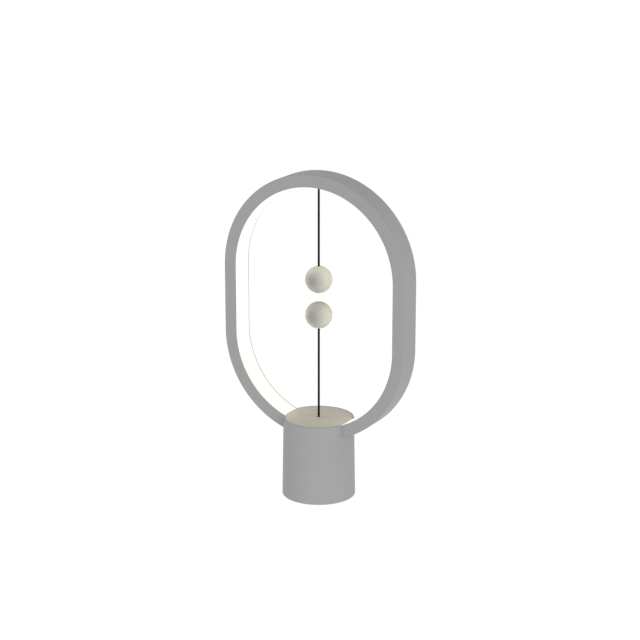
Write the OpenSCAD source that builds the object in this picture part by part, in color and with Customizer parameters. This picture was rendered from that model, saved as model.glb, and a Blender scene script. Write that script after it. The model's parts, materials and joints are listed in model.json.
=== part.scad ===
// Magnetic balance lamp.
// A lit upright loop stands in a round base. One ball hangs from the loop's top, the other is held
// up in the air below it by the pull between their magnets, and its taut string works the switch.
// Millimetres, +Z up. The origin is the middle of the face that the lamp stands on.
// X runs along the loop's width, -Y is the front and +Y is the back, where the power inlet is.

/* [Loop] */
// Width of the loop over its straight sides
ring_w = 148.6; // [144:0.2:153]
// Height of the loop from its lowest to its highest point
ring_h = 198.2; // [192:0.2:206]
// Depth of the loop from front face to back face
ring_depth = 19.2; // [18:0.2:21]
// Thickness of the loop between its outer and inner surface
ring_t = 9.3; // [8.4:0.1:9.8]
// Thickness of the channel's front and back walls
ring_wall = 1.6; // [1.4:0.1:2]
// Thickness of the channel's floor, the loop's outer skin
ring_floor = 2; // [1.6:0.1:2.4]
// Width of the channel's rim that shows beside the diffuser
ring_lip = 0.7; // [0.4:0.05:0.9]
// Radius of the loop's outer long edges
ring_edge_r = 0.5; // [0.3:0.1:0.8]
// Depth to which the loop reaches down into the base
ring_sink = 14; // [12.8:0.1:14.8]

/* [Diffuser and lights] */
// Thickness of the diffuser's lit face
diffuser_t = 1; // [0.8:0.1:1.2]
// Height of the rib that centres the diffuser between the walls
diffuser_rib = 1.2; // [0.8:0.1:1.6]
// Width of the light strip
strip_w = 8; // [6:0.5:10]
// Thickness of the light strip
strip_t = 0.3; // [0.2:0.05:0.5]
// Distance between two lights along the strip
led_pitch = 10; // [8:0.5:14]
// Length of one light across the strip
led_l = 3.5; // [2:0.1:4]
// Width of one light along the strip
led_w = 2.8; // [1.5:0.1:3.2]
// Height of one light
led_h = 0.8; // [0.5:0.1:1]

/* [Base] */
// Height of the base's top face above the table
base_h = 59.8; // [58:0.1:64]
// Diameter of the base at its top
base_top_d = 52.4; // [51.4:0.2:54]
// Diameter of the base at its foot
base_bottom_d = 54.5; // [54:0.1:57]
// Thickness of the base's wall
base_wall = 2.2; // [1.8:0.1:2.4]
// Radius of the base's upper edge
base_edge_r = 0.5; // [0.3:0.1:1.2]
// Width of the rim that the base keeps round its cover
cover_rim = 1.4; // [1.3:0.1:1.8]
// Thickness of the cover where it lies on the base's ledge
cover_t = 4; // [3.2:0.1:4.4]
// Width of the ledge that carries the cover
ledge_w = 2.4; // [1.6:0.1:3]
// Thickness of that ledge
ledge_t = 1.8; // [1.4:0.1:2.4]
// Height of the base's lower edge above the table
base_lift = 0.3; // [0.1:0.1:0.6]
// Chamfer of the base's lower edge and of the foot pad
foot_edge = 0.4; // [0.2:0.1:0.6]

/* [Balls and strings] */
// Diameter of each ball
ball_d = 20; // [18:0.5:22]
// Free length of the upper string, from the loop to the ball
upper_drop = 59.7; // [56:0.1:63]
// Gap between the two balls at rest
ball_gap = 6.8; // [5:0.1:9]
// Diameter of the strings
string_d = 1.5; // [0.9:0.05:1.6]
// Diameter of the knots that the strings swing about
knot_d = 2; // [1.6:0.1:2.2]
// Travel of the lower string when its ball lets go
pull_travel = 1.5; // [0.8:0.1:1.8]
// Diameter of the magnets
magnet_d = 10; // [8:0.5:11]
// Thickness of the magnets
magnet_t = 5; // [3:0.5:5.5]
// Thickness of the ball between its magnet and its outside
magnet_skin = 2.4; // [1.6:0.1:2.6]
// Diameter of the crimps on the string ends in the balls
ball_crimp_d = 3.2; // [2.4:0.1:4]
// Length of the crimps on the string ends in the balls
ball_crimp_l = 2.2; // [1.6:0.1:2.6]
// Height of those crimps' outer ends above the ball's middle
crimp_top = 3.6; // [3.2:0.1:4]
// Diameter of the crimp that anchors the upper string in the loop
anchor_d = 3.6; // [2.6:0.1:4]
// Height of the crimp that anchors the upper string in the loop
anchor_h = 1.6; // [1:0.1:2.2]
// Outer diameter of the tube that guides the lower string
guide_d = 4; // [3.4:0.1:4.6]
// Diameter of the guide tube's flange
guide_flange_d = 6.4; // [5.6:0.1:7]
// Thickness of the guide tube's flange
guide_flange_t = 1; // [0.8:0.1:1.4]
// Thickness of the cover's skin over the guide tube
guide_skin = 1.3; // [1:0.1:1.6]

/* [Bracket] */
// Thickness of the loop's bracket under the loop's lowest point
bracket_t = 2.8; // [2.2:0.1:3.4]
// Length of the bracket's cradle along the loop
cradle_l = 38; // [36:0.5:39]
// Width of the bracket's cradle across the loop
cradle_w = 17; // [15:0.5:17.5]
// Thickness of the bracket's two ears
ear_t = 2.4; // [2:0.1:2.6]
// Width of the bracket's two ears
ear_w = 6.8; // [6.2:0.1:7.2]
// Distance from the base's wall to the bracket's outer screws
ear_screw_inset = 3.85; // [3.6:0.05:4.2]
// Distance of the cover's screws from the middle
cover_screw_x = 14; // [12.5:0.1:14.5]
// Diameter of the cover's screw bosses
cover_boss_d = 5.2; // [4.6:0.1:5.4]
// Length of those bosses' roots in the cover
boss_root = 1.5; // [1.3:0.1:2]

/* [Switch] */
// Length of the switch body
switch_l = 12.8; // [12.4:0.1:13.4]
// Width of the switch body
switch_w = 5.8; // [5.4:0.1:6.4]
// Height of the switch body
switch_h = 6.5; // [6.2:0.1:7]
// Gap between the string and the switch body
switch_inset = 3.4; // [2.6:0.1:3.8]
// Distance from the lever's pivot to the string
lever_arm = 15.2; // [14.8:0.1:15.4]
// Distance from the lever's pivot to the button
button_arm = 5.5; // [5:0.1:6.5]
// Length of the lever beyond the string
lever_tip = 2; // [1.6:0.1:2.6]
// Width of the lever
lever_w = 3.6; // [3:0.1:3.8]
// Thickness of the lever
lever_t = 0.4; // [0.3:0.05:0.5]
// Diameter of the lever's pivot pin
pivot_d = 1; // [0.8:0.1:1.2]
// Distance from the switch body down to the lever's pivot
pivot_drop = 1.1; // [1:0.05:1.3]
// Thickness of the two ears that hold the pivot pin
pivot_ear_t = 0.8; // [0.6:0.1:0.9]
// Width of those ears
pivot_ear_w = 1.8; // [1.6:0.1:2.2]
// Diameter of the switch's button
button_d = 1.6; // [1.4:0.1:2]
// Length of the switch's button
button_l = 2.8; // [2.4:0.1:3.2]
// Diameter of the bead under the lever, on the string's end
bead_d = 3; // [2.6:0.1:3.4]
// Thickness of the bracket's tab that carries the switch
tab_t = 2; // [1.6:0.1:2.4]
// Margin of the switch body beyond that tab
tab_margin = 0.6; // [0.3:0.1:1]
// Diameter of the switch's screws
switch_screw_d = 1.9; // [1.6:0.1:2]
// Diameter of the heads of the switch's screws
switch_head_d = 3.6; // [3.2:0.1:3.8]
// Height of the heads of the switch's screws
switch_head_h = 1; // [0.8:0.1:1.2]
// Height of the switch's screws above the body's lower face
switch_screw_h = 4.4; // [4.2:0.1:4.6]
// Distance between the switch's two screws
switch_screw_pitch = 6.5; // [6:0.1:7]
// Length of the switch's terminals
terminal_l = 2.4; // [1.8:0.1:2.8]
// Width of the switch's terminals
terminal_w = 1.8; // [1.4:0.1:2.2]
// Thickness of the switch's terminals
terminal_t = 0.5; // [0.4:0.1:0.8]
// Distance between two terminals
terminal_pitch = 4.6; // [4:0.1:5]
// Room between the terminals and the bracket
terminal_room = 1; // [0.6:0.1:1.4]

/* [Weight and foot] */
// Thickness of the foot pad
pad_t = 1.5; // [1.2:0.1:2]
// Thickness of the base plate
plate_t = 2.5; // [2.2:0.1:3]
// Gap between the base plate and the base's wall
plate_gap = 0.2; // [0.15:0.05:0.4]
// Width of the base plate's rim round the foot pad
plate_rim = 1.2; // [0.8:0.1:1.8]
// Height of that rim above the table
plate_rim_z = 0.5; // [0.4:0.1:0.8]
// Height of the weight
weight_h = 12; // [8:0.5:14]
// Gap between the weight and the base's wall
weight_gap = 1.5; // [1:0.1:2.5]
// Chamfer of the weight's edges
weight_edge = 1; // [0.5:0.1:1.5]
// Diameter of the weight's screw
weight_screw_d = 3.8; // [3:0.1:5]
// Depth of the weight's bore beyond the tip of that screw
weight_screw_end = 1.5; // [1:0.1:3]
// Distance from the base's wall to the base plate's screws
foot_screw_inset = 4.4; // [4.2:0.1:4.8]
// Height of the posts for the base plate's screws
foot_post_h = 11; // [9:0.5:11.5]

/* [Board and power inlet] */
// Space between the weight and the circuit board
board_gap = 3; // [2.4:0.1:4]
// Thickness of the circuit board
board_t = 1.6; // [1.2:0.1:2]
// Gap between the circuit board and the base's wall
board_edge_gap = 2.2; // [1.6:0.1:2.8]
// Distance from the base's wall to the board's screws
board_screw_inset = 5.3; // [5:0.1:5.8]
// Height of the posts that the board is screwed to
board_post_h = 9; // [7:0.1:10]
// Width of the power inlet
inlet_w = 8.9; // [8.4:0.1:9.4]
// Height of the power inlet
inlet_h = 3.3; // [3:0.1:3.6]
// Length of the power inlet
inlet_l = 7.4; // [7:0.1:8]
// Thickness of the inlet's metal shell
inlet_wall = 0.3; // [0.2:0.05:0.4]
// Thickness of the inlet's closed back
inlet_back = 1; // [0.6:0.1:1.4]
// Distance of the inlet's mouth inside the base's outside
inlet_inset = 0.85; // [0.7:0.05:1.5]
// Gap between the inlet and its hole in the base's wall
inlet_gap = 0.2; // [0.1:0.05:0.3]
// Margin of the recess in the base round the inlet
inlet_margin = 1.7; // [1.2:0.1:2.2]
// Length of the block that the contact tongue stands on
tongue_block_l = 1.2; // [0.8:0.1:1.6]
// Width of the contact tongue
tongue_w = 6.6; // [6:0.1:7]
// Thickness of the contact tongue
tongue_t = 0.7; // [0.5:0.1:0.9]
// Length of the contact tongue
tongue_l = 4.8; // [4:0.1:5.2]

/* [Parts on the board] */
// Length of the driver chip
chip_l = 5; // [4:0.1:6]
// Width of the driver chip
chip_w = 4; // [3:0.1:5]
// Height of the driver chip
chip_h = 1.6; // [1:0.1:2]
// Distance of the driver chip from the middle, to the left
chip_x = 4.5; // [3:0.1:6]
// Diameter of the coil's foot
coil_foot_d = 6; // [5:0.1:7]
// Thickness of the coil's foot
coil_foot_h = 1; // [0.6:0.1:1.4]
// Diameter of the coil
coil_d = 4; // [3:0.1:4.6]
// Height of the coil with its foot
coil_h = 3.2; // [2.4:0.1:4]
// Distance of the coil from the middle, to the left
coil_x = 9; // [8:0.1:10]
// Distance of the coil from the middle, to the front
coil_y = 13; // [11:0.1:14]
// Diameter of the two capacitors
cap_d = 4; // [3:0.1:5]
// Height of the two capacitors
cap_h = 5; // [4:0.1:6]
// Distance of the capacitors from the middle, to each side
cap_x = 4.5; // [3:0.1:6]
// Distance of the capacitors from the middle, to the back
cap_y = 12; // [10:0.1:13]
// Height of the block that holds the light strip's wires
block_h = 4; // [3:0.1:5]
// Margin of that block round the wires
block_margin = 1.6; // [1.2:0.1:2]
// Thickness of that block's floor under the wires
block_floor = 1; // [0.6:0.1:1.4]

/* [Fasteners and wires] */
// Diameter of the small screws
screw_d = 2.4; // [2:0.1:2.6]
// Diameter of the small screws' heads
screw_head_d = 4.4; // [4:0.1:4.6]
// Height of the small screws' heads
screw_head_h = 1.4; // [1:0.1:1.6]
// Diameter of the screw posts and bosses in the base
post_d = 5.8; // [5.4:0.1:6]
// Thickness of the ribs that join the posts to the wall
rib_t = 1.8; // [1.2:0.1:2.4]
// Diameter of the wires
wire_d = 1.1; // [0.9:0.05:1.2]
// Clearance of the wires in the loop's and the bracket's holes
wire_gap = 0.2; // [0.1:0.05:0.25]
// Distance of the light strip's wires from the middle, to the right
led_wire_x = 8; // [7:0.1:9]
// Distance of the light strip's wires from the middle, to the front
led_wire_y = 5.3; // [4.8:0.1:5.6]
// Distance between the light strip's two wires
led_wire_pitch = 1.8; // [1.7:0.1:2]
// Reach of the light strip's wires under the strip's end
led_wire_reach = 2.5; // [2:0.1:3]
// Distance of the switch's wires from the switch body
switch_wire_gap = 5.4; // [5:0.1:6]
// Thickness of plastic beyond a screw's blind hole
hole_end = 1; // [0.8:0.1:1.4]
// Gap between a screw's head and its recess
head_gap = 0.15; // [0.1:0.05:0.25]
// Gap between the posts and the weight or the board
post_gap = 0.3; // [0.2:0.05:0.5]
// Gap between the foot pad and the rim round it
pad_gap = 0.1; // [0.05:0.05:0.2]
// Gap between the loop's channel and the tube and screws that pass through it
channel_gap = 0.3; // [0.2:0.05:0.4]
// Clearance of the screws' through holes
hole_gap = 0.1; // [0.06:0.01:0.15]
// Clearance between fixed pieces
fit_gap = 0.05; // [0.03:0.01:0.08]
// Clearance round sliding and turning pieces
run_gap = 0.07; // [0.04:0.01:0.09]

/* [Hidden] */

$fn = 96;
small_fn = 32;
over = 1;

// Loop: two half rounds joined by straight sides, upright in the XZ plane
ring_out = ring_w / 2;
ring_in = ring_out - ring_t;
ring_bottom = base_h - ring_sink;
ring_top = ring_bottom + ring_h;
low_arc_z = ring_bottom + ring_out;
high_arc_z = ring_top - ring_out;
ring_inner_top = high_arc_z + ring_in;
channel_half = ring_depth / 2 - ring_wall;
strip_r = ring_out - ring_floor - fit_gap;
led_r = strip_r - strip_t - fit_gap;

// Band ends of diffuser and light strip, hidden under the cover
band_end_x = cover_screw_x + cover_boss_d / 2 + 1;
diffuser_end = asin(band_end_x / ring_in);
strip_end = asin((band_end_x + over) / strip_r);

// Base
base_top_r = base_top_d / 2;
cover_r = base_top_r - cover_rim;
ledge_z = base_h - cover_t;
ledge_r = cover_r + fit_gap - ledge_w;
slot_w = ring_depth + 4 * fit_gap;
plate_z = pad_t;
plate_top = plate_z + plate_t;
plate_r = wall_r(plate_top) - plate_gap;
pad_r = plate_r - plate_rim;
foot_screw_r = wall_r(plate_top) - foot_screw_inset;
foot_angles = [45, 135, 225, 315];
weight_top = plate_top + weight_h;
weight_r = wall_r(weight_top) - weight_gap;
board_z = weight_top + board_gap;
board_top = board_z + board_t;
board_r = wall_r(board_top) - board_edge_gap;
board_screw_r = wall_r(board_top) - board_screw_inset;
board_angles = [0, 180, 270];
head_recess = screw_head_h + hole_gap;

// Cross recess of a screw: its length and depth as shares of the head, its width of the shank
recess_l_share = 0.6;
recess_w_share = 0.24;
recess_depth_share = 0.5;

// Balls and strings
ball_r = ball_d / 2;
string_r = string_d / 2;
knot_r = knot_d / 2;
knot_gap = 0.03;
bead_gap = 0.02;
upper_pivot_z = ring_inner_top - knot_r - hole_gap;
lower_pivot_z = base_h + knot_r + pull_travel;
upper_ball_z = ring_inner_top - upper_drop - ball_r;
lower_ball_z = upper_ball_z - ball_gap - ball_d;
magnet_pocket_z = magnet_skin - ball_r;

// Bracket, switch and lever
bracket_z = ring_bottom - bracket_t;
ear_screw_y = wall_r(bracket_z + ear_t) - ear_screw_inset;
guide_top = base_h - guide_skin;
switch_bottom = bracket_z - terminal_l - terminal_room - switch_h;
switch_y = switch_inset + switch_l / 2;
pivot_z = switch_bottom - pivot_drop;
lever_eye_r = pivot_d / 2 + run_gap + lever_t;
lever_hole_gap = 0.32;
lever_hole_r = string_r + lever_hole_gap;
lever_rest_gap = 0.2;
bead_z = pivot_z - lever_t / 2 - lever_rest_gap
    - sqrt(pow(bead_d / 2, 2) - pow(lever_hole_r, 2));
button_y = lever_arm - button_arm;
button_rest_gap = 0.08;
switch_screw_y = [for (side = [-1, 1]) switch_y + side * switch_screw_pitch / 2];
switch_screw_z = switch_bottom + switch_screw_h;
tab_x = -switch_w / 2 - fit_gap - tab_t;

// Wires and inlet
wire_r = wire_d / 2;
led_wire_ys = [for (side = [-1, 1]) -led_wire_y - side * led_wire_pitch / 2];
inlet_z = board_top + inlet_h / 2 + fit_gap;
inlet_y = base_r(inlet_z) - inlet_inset;

// Radius of the base's outside at height z
function base_r(z) = base_bottom_d / 2 + (base_top_d - base_bottom_d) / 2 * z / base_h;

// Radius of the base's inside at height z
function wall_r(z) = base_r(z) - base_wall;

// Height of the lower half round of radius r at distance x from the middle
function low_arc(r, x) = low_arc_z - sqrt(r * r - x * x);

// Points of a round corner about [x, y] from angle a to angle b
function corner(x, y, r, a, b, steps = 4) =
    [for (i = [0:steps]) [x + r * cos(a + (b - a) * i / steps), y + r * sin(a + (b - a) * i / steps)]];

// --- shared shapes ---

// A half or part round of the loop, from one angle to another, with the section in children()
module loop_arc(arc_z, from, to) {
    translate([0, 0, arc_z])
        rotate([90, 0, 0])
            rotate([0, 0, from])
                rotate_extrude(angle = to - from)
                    children();
}

// The two straight sides and the upper half round
module loop_upper() {
    loop_arc(high_arc_z, 0, 180)
        children();
    for (side = [0, 1])
        mirror([side, 0, 0])
            translate([0, 0, low_arc_z])
                linear_extrude(height = high_arc_z - low_arc_z)
                    children();
}

// The whole loop
module closed_loop() {
    loop_upper()
        children();
    loop_arc(low_arc_z, 180, 360)
        children();
}

// A loop that is open at the bottom, over the given angle to each side
module open_loop(gap_angle) {
    loop_upper()
        children();
    loop_arc(low_arc_z, 180, 270 - gap_angle)
        children();
    loop_arc(low_arc_z, 270 + gap_angle, 360)
        children();
}

// Solid disc of the loop's lower half round, for cutting seats to its curve
module arc_disc(r, width) {
    translate([0, 0, low_arc_z])
        rotate([90, 0, 0])
            cylinder(r = r, h = width, center = true, $fn = 256);
}

// Screw along +Z: its head's underside is at z = 0 and its shank points up
module screw(length, d = screw_d, head_d = screw_head_d, head_h = screw_head_h) {
    difference() {
        union() {
            cylinder(d = d, h = length, $fn = small_fn);
            translate([0, 0, -head_h])
                cylinder(d = head_d, h = head_h, $fn = small_fn);
        }
        for (turn = [0, 90])
            rotate([0, 0, turn])
                translate([-head_d * recess_l_share / 2, -d * recess_w_share / 2, -head_h - over])
                    cube([head_d * recess_l_share, d * recess_w_share,
                        over + head_h * recess_depth_share]);
    }
}

// Hole for a screw's shank, from z0 to z1
module screw_hole(x, y, z0, z1, gap = fit_gap) {
    translate([x, y, z0])
        cylinder(d = screw_d + 2 * gap, h = z1 - z0, $fn = small_fn);
}

// Stadium-shaped bar along +Y, w wide and h high
module flat_bar(w, h, length) {
    rotate([-90, 0, 0])
        for (x = [-1, 1])
            translate([x * (w - h) / 2, 0, 0])
                cylinder(d = h, h = length, $fn = 48);
    translate([-(w - h) / 2, 0, -h / 2])
        cube([w - h, length, h]);
}

// --- loop ---

// Section of the channel: floor outside, walls to front and back, a rebate for the diffuser
module channel_section() {
    half = ring_depth / 2;
    shoulder = ring_in + diffuser_t + fit_gap;
    polygon(concat(
        corner(ring_out - ring_edge_r, half - ring_edge_r, ring_edge_r, 0, 90),
        [[ring_in, half],
         [ring_in, half - ring_lip],
         [shoulder, half - ring_lip],
         [shoulder, channel_half],
         [ring_out - ring_floor, channel_half],
         [ring_out - ring_floor, -channel_half],
         [shoulder, -channel_half],
         [shoulder, ring_lip - half],
         [ring_in, ring_lip - half],
         [ring_in, -half]],
        corner(ring_out - ring_edge_r, ring_edge_r - half, ring_edge_r, -90, 0)));
}

module ring_frame() {
    color("#a2a2a2")
        difference() {
            closed_loop()
                channel_section();
            for (side = [-1, 1])
                screw_hole(side * cover_screw_x, 0, ring_bottom - over, ledge_z, channel_gap);
            for (y = led_wire_ys)
                translate([led_wire_x, y, ring_bottom - over])
                    cylinder(r = wire_r + wire_gap, h = ring_t, $fn = small_fn);
            translate([0, 0, ring_bottom - over])
                cylinder(d = guide_d + 2 * channel_gap, h = ring_t, $fn = small_fn);
        }
}

// Section of the diffuser: the lit face, and a rib that fits between the walls
module diffuser_section() {
    face_half = ring_depth / 2 - ring_lip - fit_gap;
    rib_half = channel_half - fit_gap;
    rib_r = ring_in + diffuser_t + diffuser_rib;
    polygon([[ring_in, face_half], [ring_in, -face_half],
        [ring_in + diffuser_t, -face_half], [ring_in + diffuser_t, -rib_half],
        [rib_r, -rib_half], [rib_r, rib_half],
        [ring_in + diffuser_t, rib_half], [ring_in + diffuser_t, face_half]]);
}

module diffuser() {
    color("#fff6e6")
        difference() {
            open_loop(diffuser_end)
                diffuser_section();
            translate([0, 0, ring_inner_top - over])
                cylinder(r = string_r + fit_gap, h = ring_t, $fn = small_fn);
        }
}

module led_strip() {
    color("#f4f1e8")
        open_loop(strip_end)
            translate([strip_r - strip_t, -strip_w / 2])
                square([strip_t, strip_w]);
}

// One light, its back at the strip and its face towards the loop's inside
module led_chip() {
    translate([led_r - led_h, -led_l / 2, -led_w / 2])
        cube([led_h, led_l, led_w]);
}

// Evenly spaced lights over the strip's rounds and straight sides
module led_chips() {
    step = led_pitch / led_r * 180 / PI;
    upper_count = floor(180 / step);
    lower_count = floor((90 - strip_end) / step);
    side_l = high_arc_z - low_arc_z;
    side_count = max(1, floor(side_l / led_pitch));
    color("#ffe9a8") {
        for (i = [0:upper_count - 1])
            translate([0, 0, high_arc_z])
                rotate([0, -(i + 0.5) * 180 / upper_count, 0])
                    led_chip();
        for (side = [0, 1])
            mirror([side, 0, 0]) {
                for (i = [0:side_count - 1])
                    translate([0, 0, low_arc_z + (i + 0.5) * side_l / side_count])
                        led_chip();
                for (i = [0:lower_count - 1])
                    translate([0, 0, low_arc_z])
                        rotate([0, (i + 0.5) * step, 0])
                            led_chip();
            }
    }
}

// --- base ---

// Section of the base's wall with its ledge, rim and rounded edges
module base_section() {
    ledge_low = ledge_z - ledge_t;
    slope_low = ledge_low - (wall_r(ledge_low) - ledge_r);
    polygon(concat(
        [[wall_r(base_lift), base_lift],
         [base_r(base_lift) - foot_edge, base_lift],
         [base_r(base_lift + foot_edge), base_lift + foot_edge]],
        corner(base_top_r - base_edge_r, base_h - base_edge_r, base_edge_r, 0, 90, 6),
        [[cover_r + fit_gap, base_h],
         [cover_r + fit_gap, ledge_z],
         [ledge_r, ledge_z],
         [ledge_r, ledge_low],
         [wall_r(slope_low), slope_low]]));
}

// Post with a rib that joins it to the base's wall
module post(angle, r, z0, z1) {
    rotate([0, 0, angle]) {
        translate([r, 0, z0])
            cylinder(d = post_d, h = z1 - z0, $fn = 48);
        translate([r, -rib_t / 2, z0])
            cube([wall_r(z1) + base_wall / 2 - r, rib_t, z1 - z0]);
    }
}

module base_shell() {
    color("#a5a5a5")
        difference() {
            union() {
                rotate_extrude($fn = 192)
                    base_section();
                for (angle = foot_angles)
                    post(angle, foot_screw_r, plate_top, plate_top + foot_post_h);
                for (angle = board_angles)
                    post(angle, board_screw_r, board_top, board_top + board_post_h);
                for (angle = [90, 270])
                    post(angle, ear_screw_y, bracket_z + ear_t, ledge_z - ledge_t);
            }
            arc_disc(ring_out + 2 * fit_gap, slot_w);
            for (angle = foot_angles)
                rotate([0, 0, angle])
                    screw_hole(foot_screw_r, 0, plate_top - over,
                        plate_top + foot_post_h - hole_end);
            for (angle = board_angles)
                rotate([0, 0, angle])
                    screw_hole(board_screw_r, 0, board_top - over,
                        board_top + board_post_h - hole_end);
            for (side = [-1, 1])
                screw_hole(0, side * ear_screw_y, bracket_z, ledge_z - ledge_t - hole_end);
            translate([0, wall_r(inlet_z) - over, inlet_z])
                flat_bar(inlet_w + 2 * inlet_gap, inlet_h + 2 * inlet_gap, base_wall + 2 * over);
            translate([0, inlet_y, inlet_z])
                flat_bar(inlet_w + 2 * inlet_margin, inlet_h + 2 * inlet_margin, base_wall);
        }
}

// Cover between the loop's walls: flat on top, its underside follows the loop's inner curve
module top_cover() {
    color("#b3afa0")
        difference() {
            union() {
                difference() {
                    translate([0, 0, ledge_z])
                        cylinder(r = cover_r, h = cover_t);
                    translate([-base_top_d, -slot_w / 2, ledge_z - over])
                        cube([2 * base_top_d, slot_w, cover_t + 2 * over]);
                }
                intersection() {
                    translate([0, 0, ring_bottom])
                        cylinder(r = cover_r, h = ring_sink);
                    arc_disc(ring_in - fit_gap, slot_w + fit_gap);
                }
                intersection() {
                    for (side = [-1, 1])
                        translate([side * cover_screw_x, 0, ring_bottom])
                            cylinder(d = cover_boss_d, h = ledge_z - ring_bottom + boss_root,
                                $fn = 48);
                    arc_disc(ring_out - ring_floor - fit_gap, ring_depth);
                }
            }
            for (side = [-1, 1])
                screw_hole(side * cover_screw_x, 0, ring_bottom, ledge_z);
            translate([0, 0, ring_bottom])
                cylinder(d = guide_d + 2 * fit_gap, h = guide_top + fit_gap - ring_bottom,
                    $fn = small_fn);
            translate([0, 0, ring_bottom])
                cylinder(r = string_r + run_gap, h = ring_sink + over, $fn = small_fn);
        }
}

// Cradle under the loop, with two ears to the base's bosses and a tab for the switch
module ring_bracket() {
    color("#8d8f92")
        difference() {
            union() {
                difference() {
                    translate([-cradle_l / 2, -cradle_w / 2, bracket_z])
                        cube([cradle_l, cradle_w, ring_sink]);
                    arc_disc(ring_out + fit_gap, ring_depth);
                    translate([-cradle_l, -cradle_w, bracket_z + bracket_t + ear_t])
                        cube([2 * cradle_l, 2 * cradle_w, ring_sink]);
                }
                for (side = [-1, 1])
                    translate([0, side * ear_screw_y, bracket_z])
                        cylinder(d = ear_w, h = ear_t, $fn = 48);
                translate([-ear_w / 2, -ear_screw_y, bracket_z])
                    cube([ear_w, 2 * ear_screw_y, ear_t]);
                translate([tab_x, switch_inset + tab_margin, switch_bottom])
                    cube([tab_t, switch_l - 2 * tab_margin, bracket_z - switch_bottom + over]);
            }
            for (side = [-1, 1]) {
                screw_hole(side * cover_screw_x, 0, bracket_z - over, base_h, hole_gap);
                screw_hole(0, side * ear_screw_y, bracket_z - over, base_h, hole_gap);
            }
            for (y = led_wire_ys)
                translate([led_wire_x, y, bracket_z - over])
                    cylinder(r = wire_r + wire_gap, h = ring_sink, $fn = small_fn);
            translate([0, 0, bracket_z - over])
                cylinder(d = guide_d + 2 * fit_gap, h = ring_sink, $fn = small_fn);
            for (y = switch_screw_y)
                translate([tab_x - over, y, switch_screw_z])
                    rotate([0, 90, 0])
                        cylinder(d = switch_screw_d + 2 * fit_gap, h = tab_t + 2 * over,
                            $fn = small_fn);
        }
}

module cover_screws() {
    color("#c9c9c9")
        for (side = [-1, 1])
            translate([side * cover_screw_x, 0, bracket_z])
                screw(ledge_z - hole_end - bracket_z);
}

module bracket_screws() {
    color("#c9c9c9")
        for (side = [-1, 1])
            translate([0, side * ear_screw_y, bracket_z])
                screw(ledge_z - ledge_t - 2 * hole_end - bracket_z);
}

// Tube that leads the lower string through cover, loop and bracket
module string_guide() {
    color("#d8d6cf")
        difference() {
            union() {
                translate([0, 0, bracket_z - guide_flange_t])
                    cylinder(d = guide_flange_d, h = guide_flange_t, $fn = 48);
                translate([0, 0, bracket_z - guide_flange_t])
                    cylinder(d = guide_d, h = guide_top - bracket_z + guide_flange_t, $fn = 48);
            }
            translate([0, 0, bracket_z - guide_flange_t - over])
                cylinder(r = string_r + run_gap, h = guide_top - bracket_z + ring_t, $fn = small_fn);
        }
}

// --- foot and weight ---

module base_plate() {
    color("#7d7f82")
        difference() {
            translate([0, 0, plate_rim_z])
                cylinder(r = plate_r, h = plate_top - plate_rim_z);
            translate([0, 0, plate_rim_z - over])
                cylinder(r = pad_r + pad_gap, h = plate_z - plate_rim_z + over);
            for (angle = foot_angles)
                rotate([0, 0, angle]) {
                    screw_hole(foot_screw_r, 0, 0, plate_top + over, hole_gap);
                    translate([foot_screw_r, 0, 0])
                        cylinder(d = screw_head_d + 2 * head_gap, h = plate_z + head_recess,
                            $fn = small_fn);
                }
            cylinder(d = weight_screw_d + 2 * hole_gap, h = plate_top + over, $fn = small_fn);
            cylinder(d = 2 * weight_screw_d + 2 * head_gap, h = plate_z + head_recess, $fn = 48);
        }
}

module base_screws() {
    color("#c9c9c9")
        for (angle = foot_angles)
            rotate([0, 0, angle])
                translate([foot_screw_r, 0, plate_z + head_recess])
                    screw(plate_t - head_recess + foot_post_h - 2 * hole_end);
}

module foot_pad() {
    color("#2f3032")
        rotate_extrude($fn = 128)
            polygon([[0, 0], [pad_r - foot_edge, 0], [pad_r, foot_edge], [pad_r, pad_t],
                [0, pad_t]]);
}

// Room for each foot post in the weight and in the board
module post_scallops() {
    for (angle = foot_angles)
        rotate([0, 0, angle]) {
            translate([foot_screw_r, 0, 0])
                cylinder(d = post_d + 2 * post_gap, h = base_h, $fn = 48);
            translate([foot_screw_r, -post_d / 2 - post_gap, 0])
                cube([post_d + plate_r - foot_screw_r, post_d + 2 * post_gap, base_h]);
        }
}

// Turned weight with a scallop for each foot post
module ballast() {
    color("#4b4d50")
        difference() {
            rotate_extrude($fn = 128)
                polygon([[weight_screw_d / 2 + fit_gap, plate_top],
                    [weight_r - weight_edge, plate_top], [weight_r, plate_top + weight_edge],
                    [weight_r, weight_top - weight_edge], [weight_r - weight_edge, weight_top],
                    [weight_screw_d / 2 + fit_gap, weight_top]]);
            post_scallops();
        }
}

module ballast_screw() {
    color("#c9c9c9")
        translate([0, 0, plate_z + head_recess])
            screw(plate_t - head_recess + weight_h - weight_screw_end, weight_screw_d,
                2 * weight_screw_d);
}

// --- board and inlet ---

module circuit_board() {
    color("#2e6b45")
        difference() {
            translate([0, 0, board_z])
                cylinder(r = board_r, h = board_t);
            post_scallops();
            for (angle = board_angles)
                rotate([0, 0, angle])
                    screw_hole(board_screw_r, 0, 0, base_h, hole_gap);
        }
}

module board_screws() {
    color("#c9c9c9")
        for (angle = board_angles)
            rotate([0, 0, angle])
                translate([board_screw_r, 0, board_z])
                    screw(board_t + board_post_h - 2 * hole_end);
}

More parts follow.
